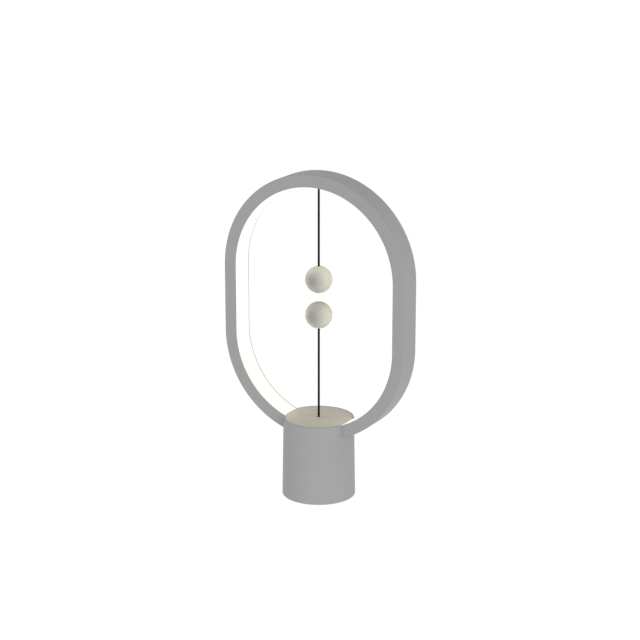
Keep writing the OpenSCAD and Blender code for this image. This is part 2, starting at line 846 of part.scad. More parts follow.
// Driver chip, coil, two capacitors and the two wire terminals, all seated on the board
module board_parts() {
    color("#3a3a3c")
        translate([0, 0, board_top]) {
            translate([-chip_x - chip_l / 2, -chip_w / 2, 0])
                cube([chip_l, chip_w, chip_h]);
            translate([-coil_x, -coil_y, 0]) {
                cylinder(d = coil_foot_d, h = coil_foot_h, $fn = 48);
                cylinder(d = coil_d, h = coil_h, $fn = 48);
            }
            for (side = [-1, 1])
                translate([side * cap_x, cap_y, 0])
                    cylinder(d = cap_d, h = cap_h, $fn = 48);
            difference() {
                block_w = wire_d + 2 * block_margin;
                translate([led_wire_x - block_w / 2, -led_wire_y - (led_wire_pitch + block_w) / 2, 0])
                    cube([block_w, led_wire_pitch + block_w, block_h]);
                for (y = led_wire_ys)
                    translate([led_wire_x, y, block_floor])
                        cylinder(r = wire_r + fit_gap, h = block_h, $fn = small_fn);
            }
        }
}

// Metal shell of the inlet: a flat tube with a closed back
module power_inlet() {
    color("#c4c6c8")
        difference() {
            translate([0, inlet_y - inlet_l, inlet_z])
                flat_bar(inlet_w, inlet_h, inlet_l);
            translate([0, inlet_y - inlet_l + inlet_back, inlet_z])
                flat_bar(inlet_w - 2 * inlet_wall, inlet_h - 2 * inlet_wall, inlet_l);
        }
}

// Contact tongue in the inlet, with the block that it stands on
module inlet_tongue() {
    block_y = inlet_y - inlet_l + inlet_back;
    inset = 2 * (inlet_wall + fit_gap);
    color("#1f1f21") {
        translate([0, block_y, inlet_z])
            flat_bar(inlet_w - inset, inlet_h - inset, tongue_block_l);
        translate([-tongue_w / 2, block_y + tongue_block_l / 2, inlet_z - tongue_t / 2])
            cube([tongue_w, tongue_l, tongue_t]);
    }
}

// --- switch ---

module switch_body() {
    color("#26282b")
        difference() {
            union() {
                translate([-switch_w / 2, switch_inset, switch_bottom])
                    cube([switch_w, switch_l, switch_h]);
                for (side = [0, 1])
                    mirror([side, 0, 0])
                        translate([switch_w / 2 - pivot_ear_t, lever_arm - pivot_ear_w / 2,
                            pivot_z - pivot_ear_w / 2])
                            cube([pivot_ear_t, pivot_ear_w, pivot_drop + pivot_ear_w / 2 + over]);
                translate([-switch_w / 2, lever_arm, pivot_z])
                    rotate([0, 90, 0])
                        cylinder(d = pivot_d, h = switch_w, $fn = small_fn);
            }
            translate([0, button_y, switch_bottom - over])
                cylinder(d = button_d + 2 * run_gap, h = button_l + over, $fn = small_fn);
            for (y = switch_screw_y)
                translate([-switch_w, y, switch_screw_z])
                    rotate([0, 90, 0])
                        cylinder(d = switch_screw_d + 2 * fit_gap, h = 2 * switch_w,
                            $fn = small_fn);
        }
}

module switch_terminals() {
    color("#c8b06a")
        for (i = [-1, 0, 1])
            translate([-terminal_w / 2, switch_y + i * terminal_pitch - terminal_t / 2,
                switch_bottom + switch_h])
                cube([terminal_w, terminal_t, terminal_l]);
}

module switch_screws() {
    color("#c9c9c9")
        for (y = switch_screw_y)
            translate([switch_w / 2, y, switch_screw_z])
                rotate([0, -90, 0])
                    screw(switch_w + tab_t, switch_screw_d, switch_head_d, switch_head_h);
}

// Sheet lever: an eye round the pivot pin, a flat arm over the button and a hole for the string
module switch_lever() {
    color("#d0d2d4")
        difference() {
            union() {
                translate([-lever_w / 2, lever_arm, pivot_z])
                    rotate([0, 90, 0])
                        cylinder(r = lever_eye_r, h = lever_w, $fn = small_fn);
                translate([-lever_w / 2, -lever_tip, pivot_z - lever_t / 2])
                    cube([lever_w, lever_arm + lever_tip, lever_t]);
            }
            translate([-lever_w, lever_arm, pivot_z])
                rotate([0, 90, 0])
                    cylinder(r = pivot_d / 2 + run_gap, h = 2 * lever_w, $fn = small_fn);
            translate([0, 0, pivot_z - over])
                cylinder(r = lever_hole_r, h = 2 * over, $fn = small_fn);
        }
}

// Round-tipped button that the lever presses up into the switch
module switch_button() {
    tip_z = pivot_z + lever_t / 2 + button_rest_gap;
    color("#b04a3a")
        translate([0, button_y, tip_z]) {
            translate([0, 0, button_d / 2])
                cylinder(d = button_d, h = button_l - button_d / 2, $fn = small_fn);
            translate([0, 0, button_d / 2])
                sphere(d = button_d, $fn = small_fn);
        }
}

// --- wires ---

// One straight wire between two points, with round ends that join it to the next
module wire(a, b) {
    v = b - a;
    length = norm(v);
    translate(a)
        rotate([0, acos(v[2] / length), atan2(v[1], v[0])])
            cylinder(r = wire_r, h = length, $fn = 24);
}

// A wire through the points in order, round at every bend
module wire_run(points) {
    for (i = [0:len(points) - 2])
        wire(points[i], points[i + 1]);
    for (i = [1:len(points) - 2])
        translate(points[i])
            sphere(r = wire_r, $fn = 24);
}

// From the light strip's end along the channel, down through loop and bracket to the board
module led_wires() {
    pad_x = band_end_x + led_wire_reach;
    pad_z = low_arc(strip_r - strip_t - fit_gap, pad_x) + wire_r;
    color("#b8392f")
        for (y = led_wire_ys)
            wire_run([[pad_x, y, pad_z],
                [led_wire_x, y, pad_z],
                [led_wire_x, y, board_top + block_floor + fit_gap]]);
}

// From the switch's outer terminals round to the board
module switch_wires() {
    run_z = switch_bottom + switch_h + terminal_l - wire_r;
    side_x = switch_w / 2 + switch_wire_gap;
    color("#3c4f9a")
        for (side = [-1, 1])
            let (y = switch_y + side * terminal_pitch)
                wire_run([[terminal_w / 2 + fit_gap, y, run_z],
                    [side_x, y, run_z],
                    [side_x, y, board_top + fit_gap]]);
}

// --- strings and balls ---

// Crimp that sits behind the diffuser, with the string's end led down to the knot
module upper_anchor() {
    seat_z = ring_inner_top + diffuser_t + diffuser_rib + fit_gap;
    color("#3a3a3a") {
        translate([0, 0, seat_z])
            cylinder(d = anchor_d, h = anchor_h, $fn = 48);
        translate([0, 0, upper_pivot_z + knot_r + knot_gap])
            cylinder(r = string_r, h = seat_z - upper_pivot_z - knot_r, $fn = small_fn);
    }
}

// Lower string's hidden stretch, from the bead under the lever up through the guide
module string_tail() {
    low_z = bead_z + bead_d / 2 + bead_gap;
    color("#161616")
        translate([0, 0, low_z])
            cylinder(r = string_r, h = lower_pivot_z - knot_r - knot_gap - low_z, $fn = small_fn);
}

module tail_bead() {
    color("#c9c9c9")
        translate([0, 0, bead_z])
            sphere(d = bead_d, $fn = 48);
}

module knot(z) {
    color("#161616")
        translate([0, 0, z])
            sphere(r = knot_r, $fn = small_fn);
}

// Free string in a ball's frame: from the crimp in the ball up to the knot
module free_string(pivot_distance) {
    color("#161616")
        translate([0, 0, crimp_top])
            cylinder(r = string_r, h = pivot_distance - knot_r - knot_gap - crimp_top,
                $fn = small_fn);
}

// Half of a ball on the string's side: string hole, room for the crimp, and a spigot
module ball_cap() {
    color("#c5beb2")
        difference() {
            union() {
                difference() {
                    sphere(r = ball_r);
                    translate([0, 0, -ball_d])
                        cube(2 * ball_d, center = true);
                }
                translate([0, 0, magnet_pocket_z + magnet_t + fit_gap])
                    cylinder(d = magnet_d, h = over - magnet_pocket_z - magnet_t - fit_gap, $fn = 64);
            }
            translate([0, 0, -ball_r])
                cylinder(d = ball_crimp_d + 2 * fit_gap, h = ball_r + crimp_top + fit_gap, $fn = 48);
            cylinder(r = string_r + fit_gap, h = ball_r + over, $fn = small_fn);
        }
}

// Half of a ball on the magnet's side, with the magnet's pocket
module ball_cup() {
    color("#c5beb2")
        difference() {
            sphere(r = ball_r);
            translate([0, 0, ball_d])
                cube(2 * ball_d, center = true);
            translate([0, 0, magnet_pocket_z - fit_gap])
                cylinder(d = magnet_d + 2 * fit_gap, h = ball_d, $fn = 64);
        }
}

module ball_magnet() {
    color("#d9dadc")
        translate([0, 0, magnet_pocket_z])
            cylinder(d = magnet_d, h = magnet_t, $fn = 64);
}

module ball_crimp() {
    color("#3a3a3a")
        translate([0, 0, crimp_top - ball_crimp_l])
            cylinder(d = ball_crimp_d, h = ball_crimp_l, $fn = 48);
}

// Frame of the upper ball: its string leaves upwards
module at_upper_ball() {
    translate([0, 0, upper_ball_z])
        children();
}

// Frame of the lower ball: its string leaves downwards
module at_lower_ball() {
    translate([0, 0, lower_ball_z])
        mirror([0, 0, 1])
            children();
}

base_shell();
top_cover();
ring_frame();
diffuser();
led_strip();
led_chips();
ring_bracket();
cover_screws();
bracket_screws();
string_guide();
base_plate();
base_screws();
foot_pad();
ballast();
ballast_screw();
circuit_board();
board_screws();
board_parts();
power_inlet();
inlet_tongue();
switch_body();
switch_terminals();
switch_screws();
led_wires();
switch_wires();
upper_anchor();
string_tail();
tail_bead();
switch_lever();
switch_button();
knot(lower_pivot_z);  // lower_knot
at_lower_ball() free_string(lower_ball_z - lower_pivot_z);  // lower_string
at_lower_ball() ball_cap();  // lower_ball_cap
at_lower_ball() ball_cup();  // lower_ball_cup
at_lower_ball() ball_magnet();  // lower_magnet
at_lower_ball() ball_crimp();  // lower_crimp
knot(upper_pivot_z);  // upper_knot
at_upper_ball() free_string(upper_pivot_z - upper_ball_z);  // upper_string
at_upper_ball() ball_cap();  // upper_ball_cap
at_upper_ball() ball_cup();  // upper_ball_cup
at_upper_ball() ball_magnet();  // upper_magnet
at_upper_ball() ball_crimp();  // upper_crimp
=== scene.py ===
# Magnetic balance lamp: fine form and finish of its pieces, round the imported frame.
# Metres, +Z up, the front is -Y. The frame gives every piece its place.
import json
import math

import bmesh
import bpy
from bpy.props import FloatProperty, FloatVectorProperty, IntProperty, PointerProperty
from mathutils import Matrix, Vector

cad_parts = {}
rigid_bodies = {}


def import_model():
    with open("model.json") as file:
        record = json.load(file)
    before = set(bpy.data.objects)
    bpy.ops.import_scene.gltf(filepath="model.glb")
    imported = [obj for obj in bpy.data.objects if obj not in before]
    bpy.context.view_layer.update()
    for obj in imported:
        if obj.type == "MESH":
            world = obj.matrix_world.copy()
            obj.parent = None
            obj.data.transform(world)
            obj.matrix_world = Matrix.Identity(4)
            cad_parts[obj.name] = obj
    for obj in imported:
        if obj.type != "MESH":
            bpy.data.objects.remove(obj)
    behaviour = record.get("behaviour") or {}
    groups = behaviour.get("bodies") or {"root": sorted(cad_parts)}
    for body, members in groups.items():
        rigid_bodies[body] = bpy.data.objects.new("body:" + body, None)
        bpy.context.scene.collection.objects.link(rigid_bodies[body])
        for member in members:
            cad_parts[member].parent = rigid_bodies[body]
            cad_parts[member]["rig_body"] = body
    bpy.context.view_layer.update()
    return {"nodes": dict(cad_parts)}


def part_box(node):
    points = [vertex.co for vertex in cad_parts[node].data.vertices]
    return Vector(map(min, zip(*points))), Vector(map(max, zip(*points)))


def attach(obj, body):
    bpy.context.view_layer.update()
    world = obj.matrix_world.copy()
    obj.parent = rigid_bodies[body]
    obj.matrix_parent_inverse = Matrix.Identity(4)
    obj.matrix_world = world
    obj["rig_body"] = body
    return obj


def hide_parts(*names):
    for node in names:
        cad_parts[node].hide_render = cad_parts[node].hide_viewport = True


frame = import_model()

bl_info = {
    "name": "Magnetic Balance Lamp",
    "version": (1, 0, 0),
    "blender": (4, 5, 0),
    "location": "View3D > Sidebar > Lamp",
    "description": "Makes the strings, balls, loop, base and finishes of a magnetic balance lamp",
    "category": "Object",
}

MM = 0.001
SAME_SPOT = 0.0001 * MM     # points nearer than this are joined into one
TIP = 0.000001 * MM         # a ring of a smaller radius is a single point
nodes = frame["nodes"]


# --- places that the frame gives ---

def low(node, axis=2):
    """Lowest place of a node along an axis."""
    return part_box(node)[0][axis]


def high(node, axis=2):
    """Highest place of a node along an axis."""
    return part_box(node)[1][axis]


def radius(node):
    """Radius of a node that is round about an upright axis."""
    return (high(node, 0) - low(node, 0)) / 2


def two_middles(node, axis, r):
    """Middles of the two outermost round parts, of radius r, of a node along an axis."""
    return low(node, axis) + r, high(node, axis) - r


def solids(node):
    """Boxes (low corner, high corner) of a node's separate solids, from left to right."""
    shape = bmesh.new()
    shape.from_mesh(nodes[node].data)
    shape.transform(nodes[node].matrix_world)
    bmesh.ops.remove_doubles(shape, verts=shape.verts, dist=SAME_SPOT)
    left, boxes = set(shape.verts), []
    while left:
        reached = [left.pop()]
        for vert in reached:
            for edge in vert.link_edges:
                other = edge.other_vert(vert)
                if other in left:
                    left.remove(other)
                    reached.append(other)
        spots = [[vert.co[axis] for vert in reached] for axis in range(3)]
        boxes.append((Vector([min(s) for s in spots]), Vector([max(s) for s in spots])))
    shape.free()
    return sorted(boxes, key=lambda box: tuple(box[0]))


LOOP_OUT = high("ring_frame", 0)
LOOP_HALF = high("ring_frame", 1)
LOW_ARC = low("ring_frame") + LOOP_OUT
HIGH_ARC = high("ring_frame") - LOOP_OUT


# --- sizes and colours that the user may change ---

def linear(hex_colour):
    """An sRGB hex colour as linear RGBA."""
    channels = [int(hex_colour[i:i + 2], 16) / 255 for i in (1, 3, 5)]
    return (*[c / 12.92 if c <= 0.04045 else ((c + 0.055) / 1.055) ** 2.4 for c in channels], 1.0)


def size(name, description, millimetres):
    """A length."""
    return FloatProperty(name=name, description=description, default=millimetres * MM, min=0.0,
                         precision=5, subtype="DISTANCE", unit="LENGTH")


def colour(name, description, hex_colour):
    """A colour."""
    return FloatVectorProperty(name=name, description=description, default=linear(hex_colour),
                               size=4, min=0.0, max=1.0, subtype="COLOR")


def level(name, description, default):
    """A plain number."""
    return FloatProperty(name=name, description=description, default=default, min=0.0)


def angle(name, description, degrees):
    """An angle."""
    return FloatProperty(name=name, description=description, default=math.radians(degrees),
                         subtype="ANGLE", unit="ROTATION")


class CameraSettings(bpy.types.PropertyGroup):
    """The camera's place, worked out from the lamp's outlines in the photograph."""

    azimuth: angle("Azimuth", "Turn of the camera from the front to the lamp's right", 28.985)
    elevation: angle("Elevation", "Angle by which it looks down", 16.006)
    distance: size("Distance", "Distance to the point that it looks at", 1461.2)
    target_up: size("Target height", "Height of that point", 134.28)
    target_side: size("Target offset", "Distance of that point to the right", 0.887)
    lens: level("Lens", "Focal length in millimetres, on a 36 mm sensor", 112.5)


class StringSettings(bpy.types.PropertyGroup):
    """Braid of the strings."""

    carriers: IntProperty(name="Carriers", description="Yarns that wind each way", default=6, min=2)
    lay: size("Lay", "Length of one crossing of two yarns", 0.8)
    relief: size("Relief", "Depth of the furrow between two yarns", 0.06)
    fullness: size("Fullness", "Height of the crowns above the string's radius", 0.086)
    across: level("Across", "Roundness of a yarn across, less is fuller", 0.8)
    onward: level("Along", "Roundness of a crossing along its yarn, less is fuller", 0.35)
    neck: size("Neck", "Radius of a string where it meets its knot", 0.6)
    seat_gap: size("Seat gap", "Clearance between a string's end and its knot", 0.02)
    tint: colour("Colour", "Colour of the yarn", "#060607")


class BallSettings(bpy.types.PropertyGroup):
    """Shape and colour of the two balls."""

    joint_edge: size("Joint edge", "Radius of the edges at the joint", 0.05)
    hole_edge: size("Hole edge", "Radius of the edge round the string's hole", 0.25)
    gap: size("Fit", "Clearance round the magnet and the crimp", 0.05)
    tint: colour("Colour", "Colour of the balls", "#a1a19d")


class LoopSettings(bpy.types.PropertyGroup):
    """Section and colour of the loop and its diffuser."""

    thickness: size("Thickness", "Distance from the outer to the inner surface", 9.3)
    wall: size("Wall", "Thickness of the front and back walls", 1.6)
    floor: size("Floor", "Thickness of the outer skin", 2.0)
    lip: size("Lip", "Width of the rim beside the diffuser", 0.7)
    outer_edge: size("Outer edge", "Radius of the long outer edges", 0.5)
    floor_edge: size("Floor edge", "Radius of the corners inside the channel", 0.3)
    lip_edge: size("Lip edge", "Radius of the edges of the rim", 0.08)
    face: size("Face", "Thickness of the diffuser's lit face", 1.0)
    rib: size("Rib", "Height of the diffuser's rib", 1.2)
    rib_edge: size("Rib edge", "Radius of the edges of that rib", 0.2)
    gap: size("Fit", "Clearance between diffuser and channel", 0.05)
    end: size("Diffuser end", "Distance of its two ends from the middle", 17.6)
    screw_hole: size("Screw holes", "Diameter of the holes for the cover's screws", 3.0)
    tube_hole: size("Tube hole", "Diameter of the hole for the guide tube", 4.6)
    wire_hole: size("Wire holes", "Diameter of the holes for the two wires", 1.5)
    tint: colour("Loop colour", "Colour of the loop", "#a4a4a4")
    opal: colour("Diffuser colour", "Colour of the unlit diffuser", "#bebbb4")
    light: colour("Light colour", "Colour of the light in the diffuser", "#fffdf8")
    glow: level("Glow", "Strength of the light in the diffuser", 0.6)


class BaseSettings(bpy.types.PropertyGroup):
    """Colours of the base, and the sizes of its foot pad."""

    tint: colour("Base colour", "Colour of the base", "#a5a5a5")
    # The cover's warm tint is partly painted light: the loop's warm glow on it.
    cover: colour("Cover colour", "Colour of the cover on the base", "#9d9c94")
    pad_edge: size("Pad edge", "Radius of the foot pad's lower edge", 0.6)
    groove: size("Groove", "Width of the grooves in the pad's underside", 0.8)
    groove_depth: size("Groove depth", "Depth of those grooves", 0.4)
    groove_edge: size("Groove edge", "Radius of the edges of those grooves", 0.1)
    groove_pitch: size("Groove pitch", "Distance from one groove to the next", 3.0)


class InsideSettings(bpy.types.PropertyGroup):
    """Sizes of the parts inside."""

    wire: size("Wire", "Diameter of the wires", 1.1)
    bend: size("Wire bend", "Radius of their bends", 1.5)
    leg: size("Leg", "Width of the chip's legs", 0.4)
    foil: size("Leg thickness", "Thickness of the legs' sheet", 0.2)
    turn: size("Copper turn", "Thickness of the coil's wire", 0.3)
    tongue: size("Tongue", "Width of the contact tongue in the inlet", 6.6)
    tongue_t: size("Tongue thickness", "Thickness of that tongue", 0.7)
    tongue_block: size("Tongue block", "Depth of the block that the tongue stands on", 1.2)
    contact: size("Contact", "Width of one contact on the tongue", 0.25)
    light_l: size("Light length", "Length of one light, along the strip", 3.5)
    light_w: size("Light width", "Width of one light, across the strip", 2.8)
    light_h: size("Light height", "Height of one light above the strip", 0.8)


class StageSettings(bpy.types.PropertyGroup):
    """Floor, world and lamps."""

    floor: size("Floor", "Width and depth of the floor", 6000)
    zenith: level("Light from above", "Strength of the light from above", 0.39)
    horizon: level("Light from the sides", "Strength of the light from the sides", 0.72)
    key: level("Key light", "Strength of the large soft lamp in front", 0.95)
    key_side: angle("Key side", "Its turn from the front to the right", 42)
    key_up: angle("Key height", "Its angle above the floor", 20)
    key_spread: angle("Key spread", "Angle that it fills, which softens its shadows", 40)
    paper: level("Floor's paleness", "Strength at which the camera sees the bare floor", 0.92)
    bounce: level("Light from the floor", "Strength of the floor's light on the lamp", 0.68)
    shadow: level("Shadow", "Share of the lamps' light that the floor sends back", 0.2)
    loop_light: level("Loop light", "Power of the loop's lamps in W per square metre", 18)
    loop_gap: size("Loop light's gap", "Distance of its lamps from the diffuser", 0.5)
    warm: colour("Loop light colour", "Colour of the loop's lamps", "#fff2dd")


class LampSettings(bpy.types.PropertyGroup):
    """All sizes and colours of the lamp."""

    camera: PointerProperty(type=CameraSettings)
    strings: PointerProperty(type=StringSettings)
    balls: PointerProperty(type=BallSettings)
    loop: PointerProperty(type=LoopSettings)
    base: PointerProperty(type=BaseSettings)
    inside: PointerProperty(type=InsideSettings)
    stage: PointerProperty(type=StageSettings)


# --- outlines ---

def circle(r, z, around):
    """Points of a level circle about the upright axis, or its middle alone where r is nought."""
    turns = [math.tau * i / around for i in range(around if r > TIP else 1)]
    return [(r * math.cos(t), r * math.sin(t), z) for t in turns]


def arc(a, b, r, start, end, steps):
    """Points on a circle about (a, b), from angle start to angle end in degrees."""
    turns = [math.radians(start + (end - start) * i / steps) for i in range(steps + 1)]
    return [(a + r * math.cos(t), b + r * math.sin(t)) for t in turns]


def bend(last, corner, onward, r, steps):
    """Points of the arc that rounds the corner between two neighbours, flat or in space."""
    to_last = (Vector(last) - Vector(corner)).normalized()
    to_next = (Vector(onward) - Vector(corner)).normalized()
    half = to_last.angle(to_next) / 2
    centre = Vector(corner) + (to_last + to_next).normalized() * r / math.sin(half)
    start = Vector(corner) + to_last * r / math.tan(half) - centre
    end = Vector(corner) + to_next * r / math.tan(half) - centre
    return [centre + start.slerp(end, i / steps).normalized() * r for i in range(steps + 1)]


def rounded(corners, steps=4):
    """Closed outline through corners (a, b, radius), each drawn as an arc of its radius."""
    outline = []
    for i, (a, b, *edge) in enumerate(corners):
        if edge and edge[0] > 0:
            last, onward = corners[i - 1][:2], corners[(i + 1) % len(corners)][:2]
            outline += [tuple(spot) for spot in bend(last, (a, b), onward, edge[0], steps)]
        else:
            outline.append((a, b))
    return outline


def mirrored(half):
    """Closed outline from the corners of one half and their mirror images across b = 0."""
    return rounded([*half, *[(a, -b, *edge) for a, b, *edge in reversed(half)]])


def rectangle(low_a, high_a, low_b, high_b, edge=0, steps=4):
    """Closed rectangle with corners of radius edge."""
    return rounded([(low_a, low_b, edge), (high_a, low_b, edge), (high_a, high_b, edge),
                    (low_a, high_b, edge)], steps)


# --- meshes ---

def shaded(mesh, sharp=30):
    """Shades a mesh smoothly, but sharp where its faces meet above an angle in degrees."""
    mesh.shade_smooth()
    mesh.set_sharp_from_angle(angle=math.radians(sharp))
    return mesh


def mesh_of(shape, sharp=30):
    """A shaded mesh with its faces turned outwards."""
    bmesh.ops.remove_doubles(shape, verts=shape.verts, dist=SAME_SPOT)
    bmesh.ops.recalc_face_normals(shape, faces=shape.faces)
    mesh = bpy.data.meshes.new("mesh")
    shape.to_mesh(mesh)
    shape.free()
    return shaded(mesh, sharp)


def skin(shape, rings, closed=False):
    """Adds rings of points to a mesh, each joined to the next. A ring of one point is a tip.

    A closed skin's last ring is joined to its first. An open one gets a face at either end."""
    rings = [[shape.verts.new(spot) for spot in ring] for ring in rings]
    for one, other in zip(rings, [*rings[1:], rings[0]] if closed else rings[1:]):
        count = max(len(one), len(other))
        for i in range(count if count > 1 else 0):
            corners = [one[i % len(one)], one[(i + 1) % len(one)],
                       other[(i + 1) % len(other)], other[i % len(other)]]
            shape.faces.new(list(dict.fromkeys(corners)))
    if not closed:
        for ring in (rings[0], rings[-1]):
            if len(ring) > 1:
                shape.faces.new(ring)


def revolve(outline, centre=(0, 0, 0), up=1, segments=96):
    """Turns a closed outline of (radius, height) round the upright axis through centre."""
    shape = bmesh.new()
    skin(shape, [circle(r, up * z, segments) for r, z in outline], closed=True)
    shape.transform(Matrix.Translation(centre))
    return mesh_of(shape)


def sweep(outline, stations, closed):
    """Leads a closed outline of (radius, y) round the loop, through stations (angle, height)."""
    shape = bmesh.new()
    rings = [[(r * math.cos(turn), y, height + r * math.sin(turn)) for r, y in outline]
             for turn, height in stations]
    skin(shape, rings, closed)
    return mesh_of(shape)


def loop_stations(gap=0.0, arc_steps=96, side_steps=12):
    """Stations round the loop from its lowest point, open there by the angle gap each way."""
    quarter = math.pi / 2 - gap
    low_steps = round(arc_steps * quarter / math.pi)
    legs = [(-quarter, 0, LOW_ARC, LOW_ARC, low_steps),
            (0, 0, LOW_ARC, HIGH_ARC, side_steps),
            (0, math.pi, HIGH_ARC, HIGH_ARC, arc_steps),
            (math.pi, math.pi, HIGH_ARC, LOW_ARC, side_steps),
            (math.pi, math.pi + quarter, LOW_ARC, LOW_ARC, low_steps)]
    stations = [(start + (end - start) * i / steps, below + (above - below) * i / steps)
                for start, end, below, above, steps in legs for i in range(steps)]
    return [*stations, (math.pi + quarter, LOW_ARC)] if gap else stations


def tube(shape, corners, r, bend_r, around=20):
    """Adds a closed round tube to a mesh. It runs along X and Z and is bent at its corners."""
    line = [Vector(corners[0])]
    for last, corner, onward in zip(corners, corners[1:], corners[2:]):
        line += bend(last, corner, onward, bend_r, 10)
    line.append(Vector(corners[-1]))
    across = Vector((0, 1, 0))
    turns = [math.tau * i / around for i in range(around)]
    rings = []
    for i, spot in enumerate(line):
        along = (line[min(i + 1, len(line) - 1)] - line[max(i - 1, 0)]).normalized()
        upward = along.cross(across)
        rings.append([spot + r * (math.cos(t) * across + math.sin(t) * upward) for t in turns])
    skin(shape, rings)


def prism(shape, outline, start, end, axis=1):
    """Adds a closed outline to a mesh, drawn out along X (its points are y, z), Y or Z."""
    skin(shape, [[(*spot[:axis], place, *spot[axis:]) for spot in outline]
                 for place in (start, end)])


def cylinder(x, y, r, low_z, high_z):
    """Closed upright cylinder, used to cut holes."""
    return revolve([(0, low_z), (r, low_z), (r, high_z), (0, high_z)], (x, y, 0), segments=48)


def put(name, data):
    """Puts an object with this mesh, lamp or camera in the scene."""
    item = bpy.data.objects.new(name, data)
    bpy.context.scene.collection.objects.link(item)
    return item


def cut(mesh, cutters):
    """Cuts meshes out of a mesh and gives back the result."""
    target = put("cut target", mesh)
    tools = [put("cut tool", cutter) for cutter in cutters]
    for tool in tools:
        modifier = target.modifiers.new("Cut", "BOOLEAN")
        modifier.operation = "DIFFERENCE"
        modifier.solver = "EXACT"
        modifier.object = tool
    graph = bpy.context.evaluated_depsgraph_get()
    result = bpy.data.meshes.new_from_object(target.evaluated_get(graph), depsgraph=graph)
    for item in (target, *tools):
        bpy.data.objects.remove(item)
    return shaded(result)


def add_piece(name, mesh, finish, node):
    """Puts a mesh in the scene as the piece, or one of the pieces, that stand for a node."""
    piece = put(name, mesh)
    mesh.name = name
    mesh.materials.clear()
    mesh.materials.append(finish)
    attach(piece, nodes[node]["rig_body"])
    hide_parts(node)
    return piece


def even_shading(piece):
    """Lets the large faces rule the shading, so that small rounded edges stay crisp."""
    piece.modifiers.new("Even shading", "WEIGHTED_NORMAL").keep_sharp = True


# --- finishes ---

def add_node(tree, kind, inputs=None, **settings):
    """Adds a shader node. An input is a plain value, or another node's socket to link."""
    node = tree.nodes.new("ShaderNode" + kind)
    for name, value in settings.items():
        setattr(node, name, value)
    for name, value in (inputs or {}).items():
        if isinstance(value, bpy.types.NodeSocket):
            tree.links.new(value, node.inputs[name])
        else:
            node.inputs[name].default_value = value
    return node


def new_finish(name, **values):
    """A material, its node tree and the place on the piece, with the shader's plain values set."""
    finish = bpy.data.materials.new(name)
    finish.use_nodes = True
    tree = finish.node_tree
    for socket, value in values.items():
        tree.nodes["Principled BSDF"].inputs[socket.replace("_", " ")].default_value = value
    return finish, tree, add_node(tree, "TexCoord").outputs["Object"]


def tone(tree, tint, pattern, dark, pale, start=0.0, end=1.0):
    """Shades a colour from dark to pale times itself, as a pattern goes from start to end."""
    share = add_node(tree, "MapRange", {"Value": pattern, "From Min": start, "From Max": end,
                                        "To Min": dark, "To Max": pale})
    tinted = add_node(tree, "VectorMath", {0: tuple(tint[:3]), "Scale": share.outputs[0]},
                      operation="SCALE")
    shader = tree.nodes["Principled BSDF"]
    tree.links.new(tinted.outputs["Vector"], shader.inputs["Base Color"])


def grain_on(tree, pattern, smooth, rough, strength, depth):
    """Lets a pattern change the roughness and raise the surface, its depth in millimetres."""
    gloss = add_node(tree, "MapRange", {"Value": pattern, "To Min": smooth, "To Max": rough})
    bump = add_node(tree, "Bump", {"Height": pattern, "Strength": strength, "Distance": depth * MM})
    shader = tree.nodes["Principled BSDF"]
    tree.links.new(gloss.outputs["Result"], shader.inputs["Roughness"])
    tree.links.new(bump.outputs["Normal"], shader.inputs["Normal"])


def grained(name, tint, roughness, grain=0.4, depth=0.006):
    """Plastic, rubber or resin: a fine grain from how it was made, and a slow drift in tone.

    Grain and depth are in millimetres. Real grain is 0.1 mm wide or less; it is drawn coarser, so
    that it shows."""
    finish, tree, place = new_finish(name, IOR=1.5, Specular_IOR_Level=0.22)
    fine = add_node(tree, "TexNoise", {"Vector": place, "Scale": 1 / (grain * MM), "Detail": 3.0,
                                       "Roughness": 0.6})
    drift = add_node(tree, "TexNoise", {"Vector": place, "Scale": 1 / (25 * MM), "Detail": 2.0})
    tone(tree, tint, drift.outputs["Fac"], dark=0.982, pale=1.018, start=0.3, end=0.7)
    grain_on(tree, fine.outputs["Fac"], smooth=roughness - 0.06, rough=roughness + 0.06,
             strength=1.0, depth=depth)
    return finish


def metal(name, tint, roughness, grain):
    """Bare or plated metal with marks of its making, their width in millimetres.

    Real marks are finer than 0.1 mm; they are drawn coarser, so that they show."""
    finish, tree, place = new_finish(name, Metallic=1.0)
    marks = add_node(tree, "TexNoise", {"Vector": place, "Scale": 1 / (grain * MM), "Detail": 4.0})
    tone(tree, linear(tint), marks.outputs["Fac"], dark=0.92, pale=1.08)
    grain_on(tree, marks.outputs["Fac"], smooth=roughness - 0.08, rough=roughness + 0.1,
             strength=0.5, depth=0.004)
    return finish


def braided_polyester(tint):
    """Braided polyester: dull black yarn that catches a little light on its crowns.

    Filaments are 0.02 mm thick; here they are 0.08 mm, so that they show."""
    finish, tree, place = new_finish("Braided polyester yarn", IOR=1.5, Sheen_Weight=0.01,
                                     Sheen_Roughness=0.5, Specular_IOR_Level=0.06)
    drawn = add_node(tree, "Mapping", {"Vector": place, "Scale": (1, 1, 0.25)}).outputs["Vector"]
    fibres = add_node(tree, "TexNoise", {"Vector": drawn, "Scale": 1 / (0.08 * MM), "Detail": 2.0})
    tone(tree, tint, fibres.outputs["Fac"], dark=0.6, pale=1.5)
    grain_on(tree, fibres.outputs["Fac"], smooth=0.55, rough=0.85, strength=0.6, depth=0.02)
    return finish


def opal_acrylic(tint, light, glow):
    """Extruded opal acrylic: milky and even, it hides the separate lights and glows all over.

    Its frost is finer than 0.1 mm; here it is 0.5 mm, so that it shows."""
    finish, tree, place = new_finish("Extruded opal acrylic", IOR=1.49, Base_Color=tint,
                                     Emission_Color=light, Emission_Strength=glow)
    frost = add_node(tree, "TexNoise", {"Vector": place, "Scale": 1 / (0.5 * MM), "Detail": 3.0})
    grain_on(tree, frost.outputs["Fac"], smooth=0.38, rough=0.5, strength=0.3, depth=0.01)
    return finish


